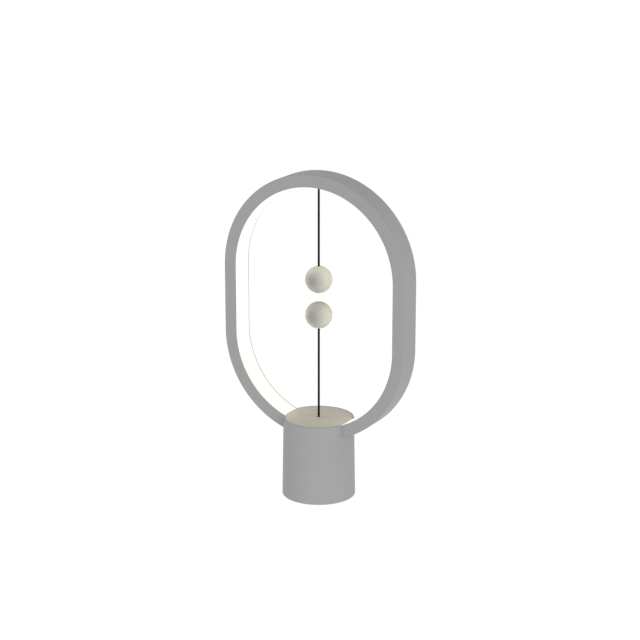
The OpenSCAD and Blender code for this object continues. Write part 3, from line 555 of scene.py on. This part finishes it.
def seen_plainly(tree):
    """A socket that is 1 for what the camera sees, also in gloss and through clear pieces."""
    ray = add_node(tree, "LightPath")
    seen = ray.outputs["Is Camera Ray"]
    for kind in ("Is Glossy Ray", "Is Transmission Ray"):
        seen = add_node(tree, "Math", {0: seen, 1: ray.outputs[kind]}, operation="MAXIMUM")
        seen = seen.outputs[0]
    return seen


def paint(finish, *names):
    """Gives a finish to nodes of the frame that keep their own shape."""
    for name in names:
        for slot in nodes[name].material_slots:
            slot.material = finish


# --- pieces ---

def hollow(end_z, side, knot_r, settings, around):
    """Rings of the hollow by which a string's end sits on its knot, from the middle outwards."""
    reach = knot_r + settings.seat_gap
    middle = end_z + side * knot_r
    outs = [settings.neck * i / 3 for i in range(4)]
    return [circle(out, middle - side * math.sqrt(reach ** 2 - out ** 2), around) for out in outs]


def crown(right, left, settings):
    """Height, from 0 to 1, of the upper yarn where a right and a left helix are this far on."""
    over = (math.floor(right) + math.floor(left)) % 2
    across, onward = (right % 1, left % 1) if over else (left % 1, right % 1)
    return (math.sin(math.pi * across) ** settings.across
            * math.sin(math.pi * onward) ** settings.onward)


def braid(low_z, high_z, r, settings, knot=False, knot_r=0, seat=0):
    """Closed round piece of braided yarn on the upright axis: a string, or a ball-shaped knot.

    Every yarn runs in a helix one way or the other. In the cell where two cross, one lies on top,
    and which one it is changes from cell to cell. A seat of -1 or 1 draws the string's lower or
    upper end in to a neck that sits on a knot of radius knot_r."""
    around = settings.carriers * (8 if knot else 7)
    tips = {-1: [circle(0, low_z, around)], 1: [circle(0, high_z, around)]}
    if seat:
        tips[seat] = hollow(low_z if seat < 0 else high_z, seat, knot_r, settings, around)
    low_z, high_z = (tips[side][-1][0][2] for side in (-1, 1))
    steps = max(14, round((high_z - low_z) / (settings.lay / 7)))
    rings = []
    for i in range(1, steps) if knot else range(steps + 1):
        turn = math.pi * i / steps
        along, girth = ((1 - math.cos(turn)) / 2, math.sin(turn)) if knot else (i / steps, 1)
        z = low_z + (high_z - low_z) * along
        if seat:
            from_neck = z - low_z if seat < 0 else high_z - z
            swell = math.sin(min(1.0, from_neck / settings.neck) * math.pi / 2)
            girth = (settings.neck + (r - settings.neck) * swell) / r
        ring = []
        for j in range(around):
            share = settings.carriers * j / around
            height = crown(share + z / settings.lay, share - z / settings.lay, settings)
            reach = girth * (r - settings.relief * (1 - height))
            spin = math.tau * j / around
            ring.append((reach * math.cos(spin), reach * math.sin(spin), z))
        rings.append(ring)
    shape = bmesh.new()
    skin(shape, [*tips[-1], *rings, *reversed(tips[1])])
    return mesh_of(shape, sharp=75)


def direction(side, up):
    """The way to a place turned from the front to the right, and raised above the floor."""
    return Vector((math.sin(side) * math.cos(up), -math.cos(side) * math.cos(up), math.sin(up)))


class LAMP_OT_camera(bpy.types.Operator):
    """Stand the camera where the photograph was taken from"""

    bl_idname = "lamp.camera"
    bl_label = "Camera"

    def execute(self, context):
        s = context.scene.lamp.camera
        right = Vector((math.cos(s.azimuth), math.sin(s.azimuth), 0))
        back = direction(s.azimuth, s.elevation)
        target = right * s.target_side + Vector((0, 0, s.target_up))
        lens = bpy.data.cameras.new("camera")
        lens.lens = s.lens
        lens.sensor_fit = "HORIZONTAL"
        camera = put("camera", lens)
        camera.location = target + back * s.distance
        camera.rotation_euler = back.to_track_quat("Z", "Y").to_euler()
        context.scene.camera = camera
        return {"FINISHED"}


class LAMP_OT_strings(bpy.types.Operator):
    """Make the two strings, the hidden stretch under the lower one, and their knots"""

    bl_idname = "lamp.strings"
    bl_label = "Strings"

    def execute(self, context):
        s = context.scene.lamp.strings
        yarn = braided_polyester(s.tint)
        # Tin over copper, pressed by the pliers: dull, pale and a little uneven.
        paint(metal("Crimped tin-plated copper", "#8f8a84", 0.4, 0.3), "upper_crimp", "lower_crimp")
        paint(yarn, "upper_anchor")
        for knot in ("upper_knot", "lower_knot"):
            mesh = braid(low(knot), high(knot), radius(knot), s, knot=True)
            add_piece(knot + "_braid", mesh, yarn, knot)
        for node, knot, seat in (("upper_string", "upper_knot", 1),
                                 ("lower_string", "lower_knot", -1),
                                 ("string_tail", "lower_knot", 1)):
            mesh = braid(low(node), high(node), radius(node) + s.fullness, s,
                         knot_r=radius(knot), seat=seat)
            add_piece(node + "_braid", mesh, yarn, node)
        return {"FINISHED"}


class LAMP_OT_balls(bpy.types.Operator):
    """Make the two balls, each of a cap and a cup, round their magnets and crimps"""

    bl_idname = "lamp.balls"
    bl_label = "Balls"

    def execute(self, context):
        s = context.scene.lamp.balls
        # The mould's fine matt grain makes the highlight soft and the ball look like bisque.
        plastic = grained("Moulded ABS ball, fine matt", s.tint, 0.55, 0.35)
        # Nickel plating is bright and a little yellow.
        paint(metal("Nickel-plated magnet", "#cfcbc2", 0.22, 0.4), "upper_magnet", "lower_magnet")
        for ball, up in (("upper", 1), ("lower", -1)):
            cup, cap = ball + "_ball_cup", ball + "_ball_cap"
            middle = high(cup) if up > 0 else low(cup)
            r, edge = radius(cup), s.joint_edge
            magnet, crimp, string = ball + "_magnet", ball + "_crimp", ball + "_string"
            magnet_r, crimp_r = radius(magnet), radius(crimp) + s.gap
            hole = radius(string) + s.gap
            roof = max(up * (z - middle) for z in (low(crimp), high(crimp))) + s.gap
            magnet_ends = sorted(up * (z - middle) for z in (low(magnet), high(magnet)))
            floor, step = magnet_ends[0] - s.gap, magnet_ends[1] + s.gap
            joint = math.degrees(edge / r)
            outside = arc(0, 0, r, -90, -joint, 48)
            pocket = [(magnet_r + s.gap, 0), (magnet_r + s.gap, floor), (0, floor)]
            mesh = revolve([*outside, (r - edge, 0), *pocket], (0, 0, middle), up, 128)
            add_piece(cup + "_shell", mesh, plastic, cup)
            rim = hole + s.hole_edge
            outside = arc(0, 0, r, joint, 90 - math.degrees(rim / r), 48)
            mouth = arc(rim, outside[-1][1] - s.hole_edge, s.hole_edge, 90, 180, 5)
            inside = [(hole, roof), (crimp_r, roof), (crimp_r, step), (magnet_r, step),
                      (magnet_r, 0)]
            mesh = revolve([(r - edge, 0), *outside, *mouth, *inside], (0, 0, middle), up, 128)
            add_piece(cap + "_shell", mesh, plastic, cap)
        return {"FINISHED"}


class LAMP_OT_loop(bpy.types.Operator):
    """Make the loop's channel and the diffuser that closes it"""

    bl_idname = "lamp.loop"
    bl_label = "Loop"

    def execute(self, context):
        s = context.scene.lamp.loop
        inside = LOOP_OUT - s.thickness
        shoulder = inside + s.face + s.gap
        wall, lip = LOOP_HALF - s.wall, LOOP_HALF - s.lip
        section = mirrored([(LOOP_OUT, LOOP_HALF, s.outer_edge), (inside, LOOP_HALF, s.lip_edge),
                            (inside, lip, s.lip_edge), (shoulder, lip), (shoulder, wall),
                            (LOOP_OUT - s.floor, wall, s.floor_edge)])
        mesh = cut(sweep(section, loop_stations(), True), self.channel_holes(s))
        # Satin from the mould: grey, even, with a broad soft sheen and no hard highlight.
        plastic = grained("Moulded ABS loop, satin", s.tint, 0.5)
        even_shading(add_piece("loop_channel", mesh, plastic, "ring_frame"))
        face, rib = lip - s.gap, wall - s.gap
        section = mirrored([(inside, face, s.lip_edge), (inside + s.face, face),
                            (inside + s.face, rib), (inside + s.face + s.rib, rib, s.rib_edge)])
        gap = math.asin(s.end / inside)
        hole = cylinder(0, 0, radius("upper_string") + s.gap, HIGH_ARC + inside - MM,
                        HIGH_ARC + LOOP_OUT - s.floor)
        mesh = cut(sweep(section, loop_stations(gap), False), [hole])
        opal = opal_acrylic(s.opal, s.light, s.glow)
        even_shading(add_piece("diffuser_strip", mesh, opal, "diffuser"))
        return {"FINISHED"}

    def channel_holes(self, s):
        """Cutters for the screws, the guide tube and the wires that pass through the channel."""
        head = (high("cover_screws", 1) - low("cover_screws", 1)) / 2
        wire = bpy.context.scene.lamp.inside.wire / 2
        holes = [(0, 0, s.tube_hole)]
        holes += [(x, 0, s.screw_hole) for x in two_middles("cover_screws", 0, head)]
        holes += [(low("led_wires", 0) + wire, y, s.wire_hole)
                  for y in two_middles("led_wires", 1, wire)]
        bottom = low("ring_frame")
        return [cylinder(x, y, d / 2, bottom - MM, bottom + 2 * s.floor) for x, y, d in holes]


class LAMP_OT_base(bpy.types.Operator):
    """Finish the base, its cover and its foot"""

    bl_idname = "lamp.base"
    bl_label = "Base"

    def execute(self, context):
        s = context.scene.lamp.base
        # The base has the loop's satin; the cover is duller, and its warmer tint is partly painted
        # light, the warm glow of the loop on it.
        paint(grained("Moulded ABS base, satin", s.tint, 0.5), "base_shell")
        paint(grained("Moulded ABS cover, matt", s.cover, 0.6), "top_cover")
        # Rubber is nearly black and dull, with a coarse grain.
        rubber = grained("Moulded rubber", linear("#2a2a2b"), 0.8, 0.6, 0.02)
        add_piece("ribbed_foot_pad", self.ribbed_pad(s), rubber, "foot_pad")
        return {"FINISHED"}

    def ribbed_pad(self, s):
        """A flat round pad with a rounded lower edge and round grooves in its underside."""
        r, top, bottom = radius("foot_pad"), high("foot_pad"), low("foot_pad")
        deep = bottom + s.groove_depth
        outline = [(0, top), (r, top), (r, bottom, s.pad_edge)]
        groove = r - s.groove_pitch
        while groove > s.groove_pitch:
            near, far = groove + s.groove / 2, groove - s.groove / 2
            outline += [(near, bottom, s.groove_edge), (near, deep), (far, deep),
                        (far, bottom, s.groove_edge)]
            groove -= s.groove_pitch
        return revolve(rounded([*outline, (0, bottom)]))


# Outlines of a light from its foot to its middle: (share of its width, share of its height).
LIGHT_BODY = [(1.0, 0.0), (1.0, 0.55), (0.86, 0.85), (0.76, 0.85), (0.7, 0.7), (0.0, 0.7)]
LIGHT_DROP = [(0.72, 0.68), (0.62, 0.86), (0.42, 0.96), (0.2, 1.0), (0.0, 1.0)]


class LAMP_OT_inside(bpy.types.Operator):
    """Make the wires and the parts on the board, and finish the other parts inside"""

    bl_idname = "lamp.inside"
    bl_label = "Inside"

    def execute(self, context):
        s = context.scene.lamp.inside
        # Nylon stays a little glossy and shows the mould's grain; natural nylon looks like wax.
        paint(grained("Moulded nylon bracket", linear("#8d8f92"), 0.5), "ring_bracket",
              "base_plate")
        paint(grained("Turned natural nylon", linear("#d8d6cf"), 0.45, 0.3, 0.003), "string_guide")
        # Zinc plating is pale with cloudy spots; the cast weight is dark, with a turned face.
        paint(metal("Zinc-plated steel", "#c9cbcc", 0.3, 0.5), "cover_screws", "bracket_screws",
              "base_screws", "board_screws", "switch_screws", "ballast_screw", "tail_bead",
              "switch_lever")
        paint(metal("Turned cast iron", "#4b4a48", 0.5, 0.4), "ballast")
        # Pressed steel is smooth and grey; stamped brass is yellow, with faint marks.
        paint(metal("Pressed sheet steel", "#c2c4c6", 0.28, 0.5), "power_inlet")
        paint(metal("Stamped brass", "#c9ab62", 0.3, 0.4), "switch_terminals")
        # The weave of the glass cloth shows through the green mask as a faint mottle.
        paint(grained("Glass-fibre laminate under green mask", linear("#24603d"), 0.35, 0.8, 0.01),
              "circuit_board")
        # Epoxy is filled with powder and looks like slate; acetal is dense and waxy.
        epoxy = grained("Moulded black epoxy", linear("#1b1b1d"), 0.5, 0.3, 0.008)
        paint(epoxy, "switch_body")
        paint(grained("Moulded red acetal", linear("#8e3527"), 0.4, 0.3, 0.004), "switch_button")
        # The film is smooth and warm white.
        paint(grained("White polyimide film", linear("#e9e6dc"), 0.45, 0.6), "led_strip")
        self.line_with_lights(s)
        self.fit_tongue(s, epoxy)
        self.run_wires(s)
        self.fit_board(s, epoxy)
        return {"FINISHED"}

    def line_with_lights(self, s):
        """Each light: a white body with chamfered sides, and a drop of silicone in its top."""
        # The body is chalky white; the silicone is a smooth, glossy yellow.
        white = grained("Moulded white resin", linear("#efece4"), 0.55, 0.2, 0.003)
        yellow = grained("Cast phosphor silicone", linear("#f2d27a"), 0.3, 0.3, 0.004)
        for name, steps, finish in (("light_bodies", LIGHT_BODY, white),
                                    ("light_drops", LIGHT_DROP, yellow)):
            shape = bmesh.new()
            for one, other in solids("led_chips"):
                self.add_light(shape, s, (one + other) / 2, steps)
            add_piece(name, mesh_of(shape), finish, "led_chips")

    def add_light(self, shape, s, middle, steps):
        """Adds a light about its middle. Its top looks to the middle of the loop."""
        inner = Vector((0, middle.y, min(max(middle.z, LOW_ARC), HIGH_ARC)))
        inward = (inner - middle).normalized()
        across = Vector((0, 1, 0))
        along = across.cross(inward)
        foot = middle - inward * s.light_h / 2
        corner = 0.15           # radius of its corners, as a share of half its width
        rings = []
        for share, rise in steps:
            half_w = share * s.light_w / 2
            half_l = half_w + (s.light_l - s.light_w) / 2 * min(1, share * 2)
            flat = rectangle(-half_l, half_l, -half_w, half_w, corner * half_w, 3)
            rings.append([foot + along * a + across * b + inward * s.light_h * rise
                          for a, b in (flat if share else [(0, 0)])])
        skin(shape, rings)

    def fit_tongue(self, s, epoxy):
        """The tongue in the inlet: a black blade on a block, with gilt contacts on both faces."""
        (left, back, bottom), (right, front, top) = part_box("inlet_tongue")
        middle = (bottom + top) / 2
        under, over = middle - s.tongue_t / 2, middle + s.tongue_t / 2
        leaf = 0.03 * MM        # how far a contact stands out of the blade
        bare = 0.5 * MM         # how far the contacts end before its tip
        round_end = (top - bottom) / 2 - 0.01 * MM
        root, half_w = back + s.tongue_block, s.tongue / 2
        shape = bmesh.new()
        prism(shape, rectangle(left, right, bottom, top, round_end, 10), back, root)
        prism(shape, rectangle(-half_w, half_w, under + leaf, over - leaf, 0.15 * MM), root, front)
        add_piece("inlet_tongue_blade", mesh_of(shape), epoxy, "inlet_tongue")
        # Gilt contacts are smooth, warm and bright against the black blade.
        gilt = metal("Gold-plated contacts", "#d9b45a", 0.25, 0.2)
        strips = bmesh.new()
        count = 12
        for i in range(count):
            x = (i - (count - 1) / 2) * 2 * s.contact
            for near, far in ((over - 2 * leaf, over), (under, under + 2 * leaf)):
                strip = rectangle(x - s.contact / 2, x + s.contact / 2, near, far)
                prism(strips, strip, root, front - bare)
        add_piece("inlet_contacts", mesh_of(strips), gilt, "inlet_tongue")

    def run_wires(self, s):
        """Two wires to the lights and two to the switch, each bent once on its way."""
        # PVC covering is smooth and softly glossy.
        red = grained("Extruded red PVC", linear("#a52f26"), 0.42, 0.3, 0.004)
        blue = grained("Extruded blue PVC", linear("#2f438f"), 0.42, 0.3, 0.004)
        r = s.wire / 2
        # The wires to the lights go down at their left end, those to the switch at their right.
        for node, finish, down_left in (("led_wires", red, True), ("switch_wires", blue, False)):
            shape = bmesh.new()
            left, right, top = low(node, 0), high(node, 0), high(node) - r
            down, start = (left + r, right) if down_left else (right - r, left)
            for y in two_middles(node, 1, r):
                tube(shape, [(start, y, top), (down, y, top), (down, y, low(node))], r, s.bend)
            add_piece(node + "_bent", mesh_of(shape), finish, node)

    def fit_board(self, s, epoxy):
        """The parts on the board: a coil, a chip with legs, two capacitors and a wire block."""
        coil, chip, *capacitors, block = solids("board_parts")
        # Tin on the legs is dull and pale; a drawn can is bright, with a soft sheen.
        tin = metal("Tin-plated copper legs", "#bfc1c3", 0.4, 0.2)
        can = metal("Drawn aluminium can", "#c4c6c9", 0.3, 0.3)
        self.chip_on_legs(s, chip, epoxy, tin)
        self.wound_coil(s, coil)
        for side, box in zip(("left", "right"), capacitors):
            add_piece(f"board_capacitor_{side}", self.capacitor(box), can, "board_parts")
        self.wire_block(s, block, epoxy)

    def capacitor(self, box):
        """A round can with a crimped groove above its foot and a shallow dish in its top."""
        (x, y), r = ((box[0] + box[1]) / 2)[:2], (box[1].x - box[0].x) / 2
        top, groove, half = box[1].z - box[0].z, 1 * MM, 0.2 * MM
        edge, fine = 0.15 * MM, 0.05 * MM
        dish = top - 2 * fine
        outline = [(0, 0), (r, 0, 2 * fine), (r, groove - half, edge), (0.9 * r, groove, edge),
                   (r, groove + half, edge), (r, top, 2 * edge), (0.8 * r, top, fine),
                   (0.75 * r, dish, fine), (0, dish)]
        return revolve(rounded(outline), (x, y, box[0].z))

    def chip_on_legs(self, s, box, epoxy, tin):
        """A black body with four bent legs along each of its long sides."""
        (left, front, floor), (right, back, top) = box
        side = 0.4 * MM         # how far the legs stand out beside the body
        slope, under = 1.5 * side, floor + 0.1 * MM
        half = (floor + top) / 2
        body = [(front + side, half), (front + slope, under), (back - slope, under),
                (back - side, half), (back - slope, top), (front + slope, top)]
        shape = bmesh.new()
        prism(shape, body, left, right, axis=0)
        add_piece("board_chip", mesh_of(shape), epoxy, "board_parts")
        legs = bmesh.new()
        count = 4
        for i in range(count):
            x = left + (right - left) / count * (i + 0.5)
            for foot, toward in ((front, 1), (back, -1)):
                knee, root = foot + toward * side / 2, foot + toward * 1.2 * side
                shin = knee - toward * s.foil
                path = [(foot, floor), (knee, floor), (knee, half - s.foil),
                        (root, half - s.foil), (root, half), (shin, half),
                        (shin, floor + s.foil), (foot, floor + s.foil)]
                prism(legs, path, x - s.leg / 2, x + s.leg / 2, axis=0)
        add_piece("chip_legs", mesh_of(legs), tin, "board_parts")

    def wound_coil(self, s, box):
        """Copper turns round a drum core with a wide foot."""
        # Pressed ferrite is dark and matt; enamel gives the copper a clear brown gloss.
        ferrite = grained("Pressed ferrite", linear("#353638"), 0.6, 0.3, 0.01)
        copper = metal("Enamelled copper wire", "#9a5528", 0.25, 0.3)
        centre = (*((box[0] + box[1]) / 2)[:2], box[0].z)
        foot_r, top = (box[1].x - box[0].x) / 2, box[1].z - box[0].z
        rim, foot, edge = foot_r * 2 / 3, 1 * MM, 0.1 * MM
        drum, flange = rim - 0.6 * MM, top - 0.4 * MM
        core = [(0, 0), (foot_r, 0, edge), (foot_r, foot, edge), (drum, foot), (drum, flange),
                (rim, flange), (rim, top, edge), (0, top)]
        add_piece("board_coil_core", revolve(rounded(core), centre), ferrite, "board_parts")
        count = int((flange - foot) / s.turn)
        pitch = (flange - foot) / count
        outline = [(drum, foot)]
        for i in range(count):
            outline += arc(rim - pitch, foot + pitch * (i + 0.5), pitch / 2, -90, 90, 8)
        add_piece("board_coil_turns", revolve([*outline, (drum, flange)], centre), copper,
                  "board_parts")

    def wire_block(self, s, box, epoxy):
        """A block that grips the two wires to the lights, each in a hole."""
        (left, front, floor), (right, back, top) = box
        shape = bmesh.new()
        prism(shape, rectangle(left, right, front, back, 0.3 * MM), floor, top, axis=2)
        wire, fit = s.wire / 2, 0.05 * MM
        holes = [cylinder((left + right) / 2, y, wire + fit, floor + MM, top + MM)
                 for y in two_middles("led_wires", 1, wire)]
        add_piece("board_wire_block", cut(mesh_of(shape), holes), epoxy, "board_parts")


class LAMP_OT_stage(bpy.types.Operator):
    """Lay the floor and set up the light"""

    bl_idname = "lamp.stage"
    bl_label = "Stage"

    # The loop's lamps leave these out: the glow lights the loop, and the base's side faces away.
    unlit = ("loop_channel", "diffuser_strip", "base_shell")

    def execute(self, context):
        s = context.scene.lamp.stage
        context.scene.view_settings.view_transform = "Standard"
        self.lay_floor(s)
        self.light_world(context, s)
        self.light_front(s)
        self.light_loop(context, s)
        return {"FINISHED"}

    def lay_floor(self, s):
        """A pale floor that shows a soft shadow under the lamp."""
        shape = bmesh.new()
        bmesh.ops.create_grid(shape, x_segments=1, y_segments=1, size=s.floor / 2)
        floor = put("floor", mesh_of(shape))
        # Matt paper: the camera sees it as white, and the lamp dims it where it stands.
        paper = bpy.data.materials.new("White paper")
        paper.use_nodes = True
        tree = paper.node_tree
        tree.nodes.clear()
        grey = (s.shadow, s.shadow, s.shadow, 1)
        sent_back = add_node(tree, "BsdfDiffuse", {"Color": grey}).outputs["BSDF"]
        strength = add_node(tree, "MapRange",
                            {"Value": seen_plainly(tree), "To Min": s.bounce, "To Max": s.paper})
        pale = add_node(tree, "Emission", {"Strength": strength.outputs[0]})
        both = add_node(tree, "AddShader", {0: sent_back, 1: pale.outputs["Emission"]})
        add_node(tree, "OutputMaterial", {"Surface": both.outputs["Shader"]})
        floor.data.materials.append(paper)

    def light_world(self, context, s):
        """Even light, weaker from above. The camera and glossy surfaces see plain white."""
        world = bpy.data.worlds.new("studio")
        world.use_nodes = True
        tree = world.node_tree
        tree.nodes.clear()
        way = add_node(tree, "TexCoord").outputs["Generated"]
        height = add_node(tree, "SeparateXYZ", {"Vector": way}).outputs["Z"]
        strength = add_node(tree, "MapRange",
                            {"Value": height, "To Min": s.horizon, "To Max": s.zenith})
        shown = add_node(tree, "Math", {0: strength.outputs[0], 1: seen_plainly(tree)},
                         operation="MAXIMUM")
        sky = add_node(tree, "Background", {"Color": (1, 1, 1, 1), "Strength": shown.outputs[0]})
        add_node(tree, "OutputWorld", {"Surface": sky.outputs["Background"]})
        context.scene.world = world

    def light_front(self, s):
        """A large soft lamp in front, to the right."""
        data = bpy.data.lights.new("key", "SUN")
        data.energy = s.key
        data.angle = s.key_spread
        back = direction(s.key_side, s.key_up)
        put("key", data).rotation_euler = back.to_track_quat("Z", "Y").to_euler()

    def light_loop(self, context, s):
        """The loop's light on the balls and the cover, from lamps along its inner face."""
        loop = context.scene.lamp.loop
        inside = LOOP_OUT - loop.thickness - s.loop_gap
        width = 2 * (LOOP_HALF - loop.lip)
        lit = bpy.data.collections.new("lit by the loop")
        for item in context.scene.collection.objects:
            if item.type == "MESH" and item.name not in self.unlit:
                lit.objects.link(item)
        # The lamps leave out the stretch that the cover hides.
        gap = math.asin(high("top_cover", 0) / inside)
        points = [Vector((inside * math.cos(turn), 0, height + inside * math.sin(turn)))
                  for turn, height in loop_stations(gap, arc_steps=14, side_steps=3)]
        for i, (one, other) in enumerate(zip(points, points[1:])):
            step = other - one
            data = bpy.data.lights.new(f"loop light {i}", "AREA")
            data.shape = "RECTANGLE"
            data.size = width
            data.size_y = step.length
            data.energy = s.loop_light * width * step.length
            data.color = s.warm[:3]
            along = step.normalized()
            outward = Vector((0, 1, 0)).cross(along)
            turn = Matrix((along.cross(outward), along, outward)).transposed()
            lamp = put(data.name, data)
            lamp.matrix_world = Matrix.Translation((one + other) / 2) @ turn.to_4x4()
            lamp.visible_camera = False
            lamp.light_linking.receiver_collection = lit


OPERATORS = [LAMP_OT_camera, LAMP_OT_strings, LAMP_OT_balls, LAMP_OT_loop, LAMP_OT_base,
             LAMP_OT_inside, LAMP_OT_stage]


class LAMP_PT_panel(bpy.types.Panel):
    """Lists the pieces of the lamp with their sizes and colours"""

    bl_idname = "LAMP_PT_panel"
    bl_label = "Magnetic Balance Lamp"
    bl_space_type = "VIEW_3D"
    bl_region_type = "UI"
    bl_category = "Lamp"

    def draw(self, context):
        column = self.layout.column()
        for operator in OPERATORS:
            column.operator(operator.bl_idname)
            group = getattr(context.scene.lamp, operator.bl_idname.split(".")[1])
            for prop in group.__annotations__:
                column.prop(group, prop)


CLASSES = [CameraSettings, StringSettings, BallSettings, LoopSettings, BaseSettings,
           InsideSettings, StageSettings, LampSettings, *OPERATORS, LAMP_PT_panel]


def register():
    for item in CLASSES:
        bpy.utils.register_class(item)
    bpy.types.Scene.lamp = PointerProperty(type=LampSettings)


def unregister():
    del bpy.types.Scene.lamp
    for item in reversed(CLASSES):
        bpy.utils.unregister_class(item)


def main():
    register()
    for operator in OPERATORS:
        getattr(bpy.ops.lamp, operator.bl_idname.split(".")[1])()


if __name__ == "__main__":
    main()
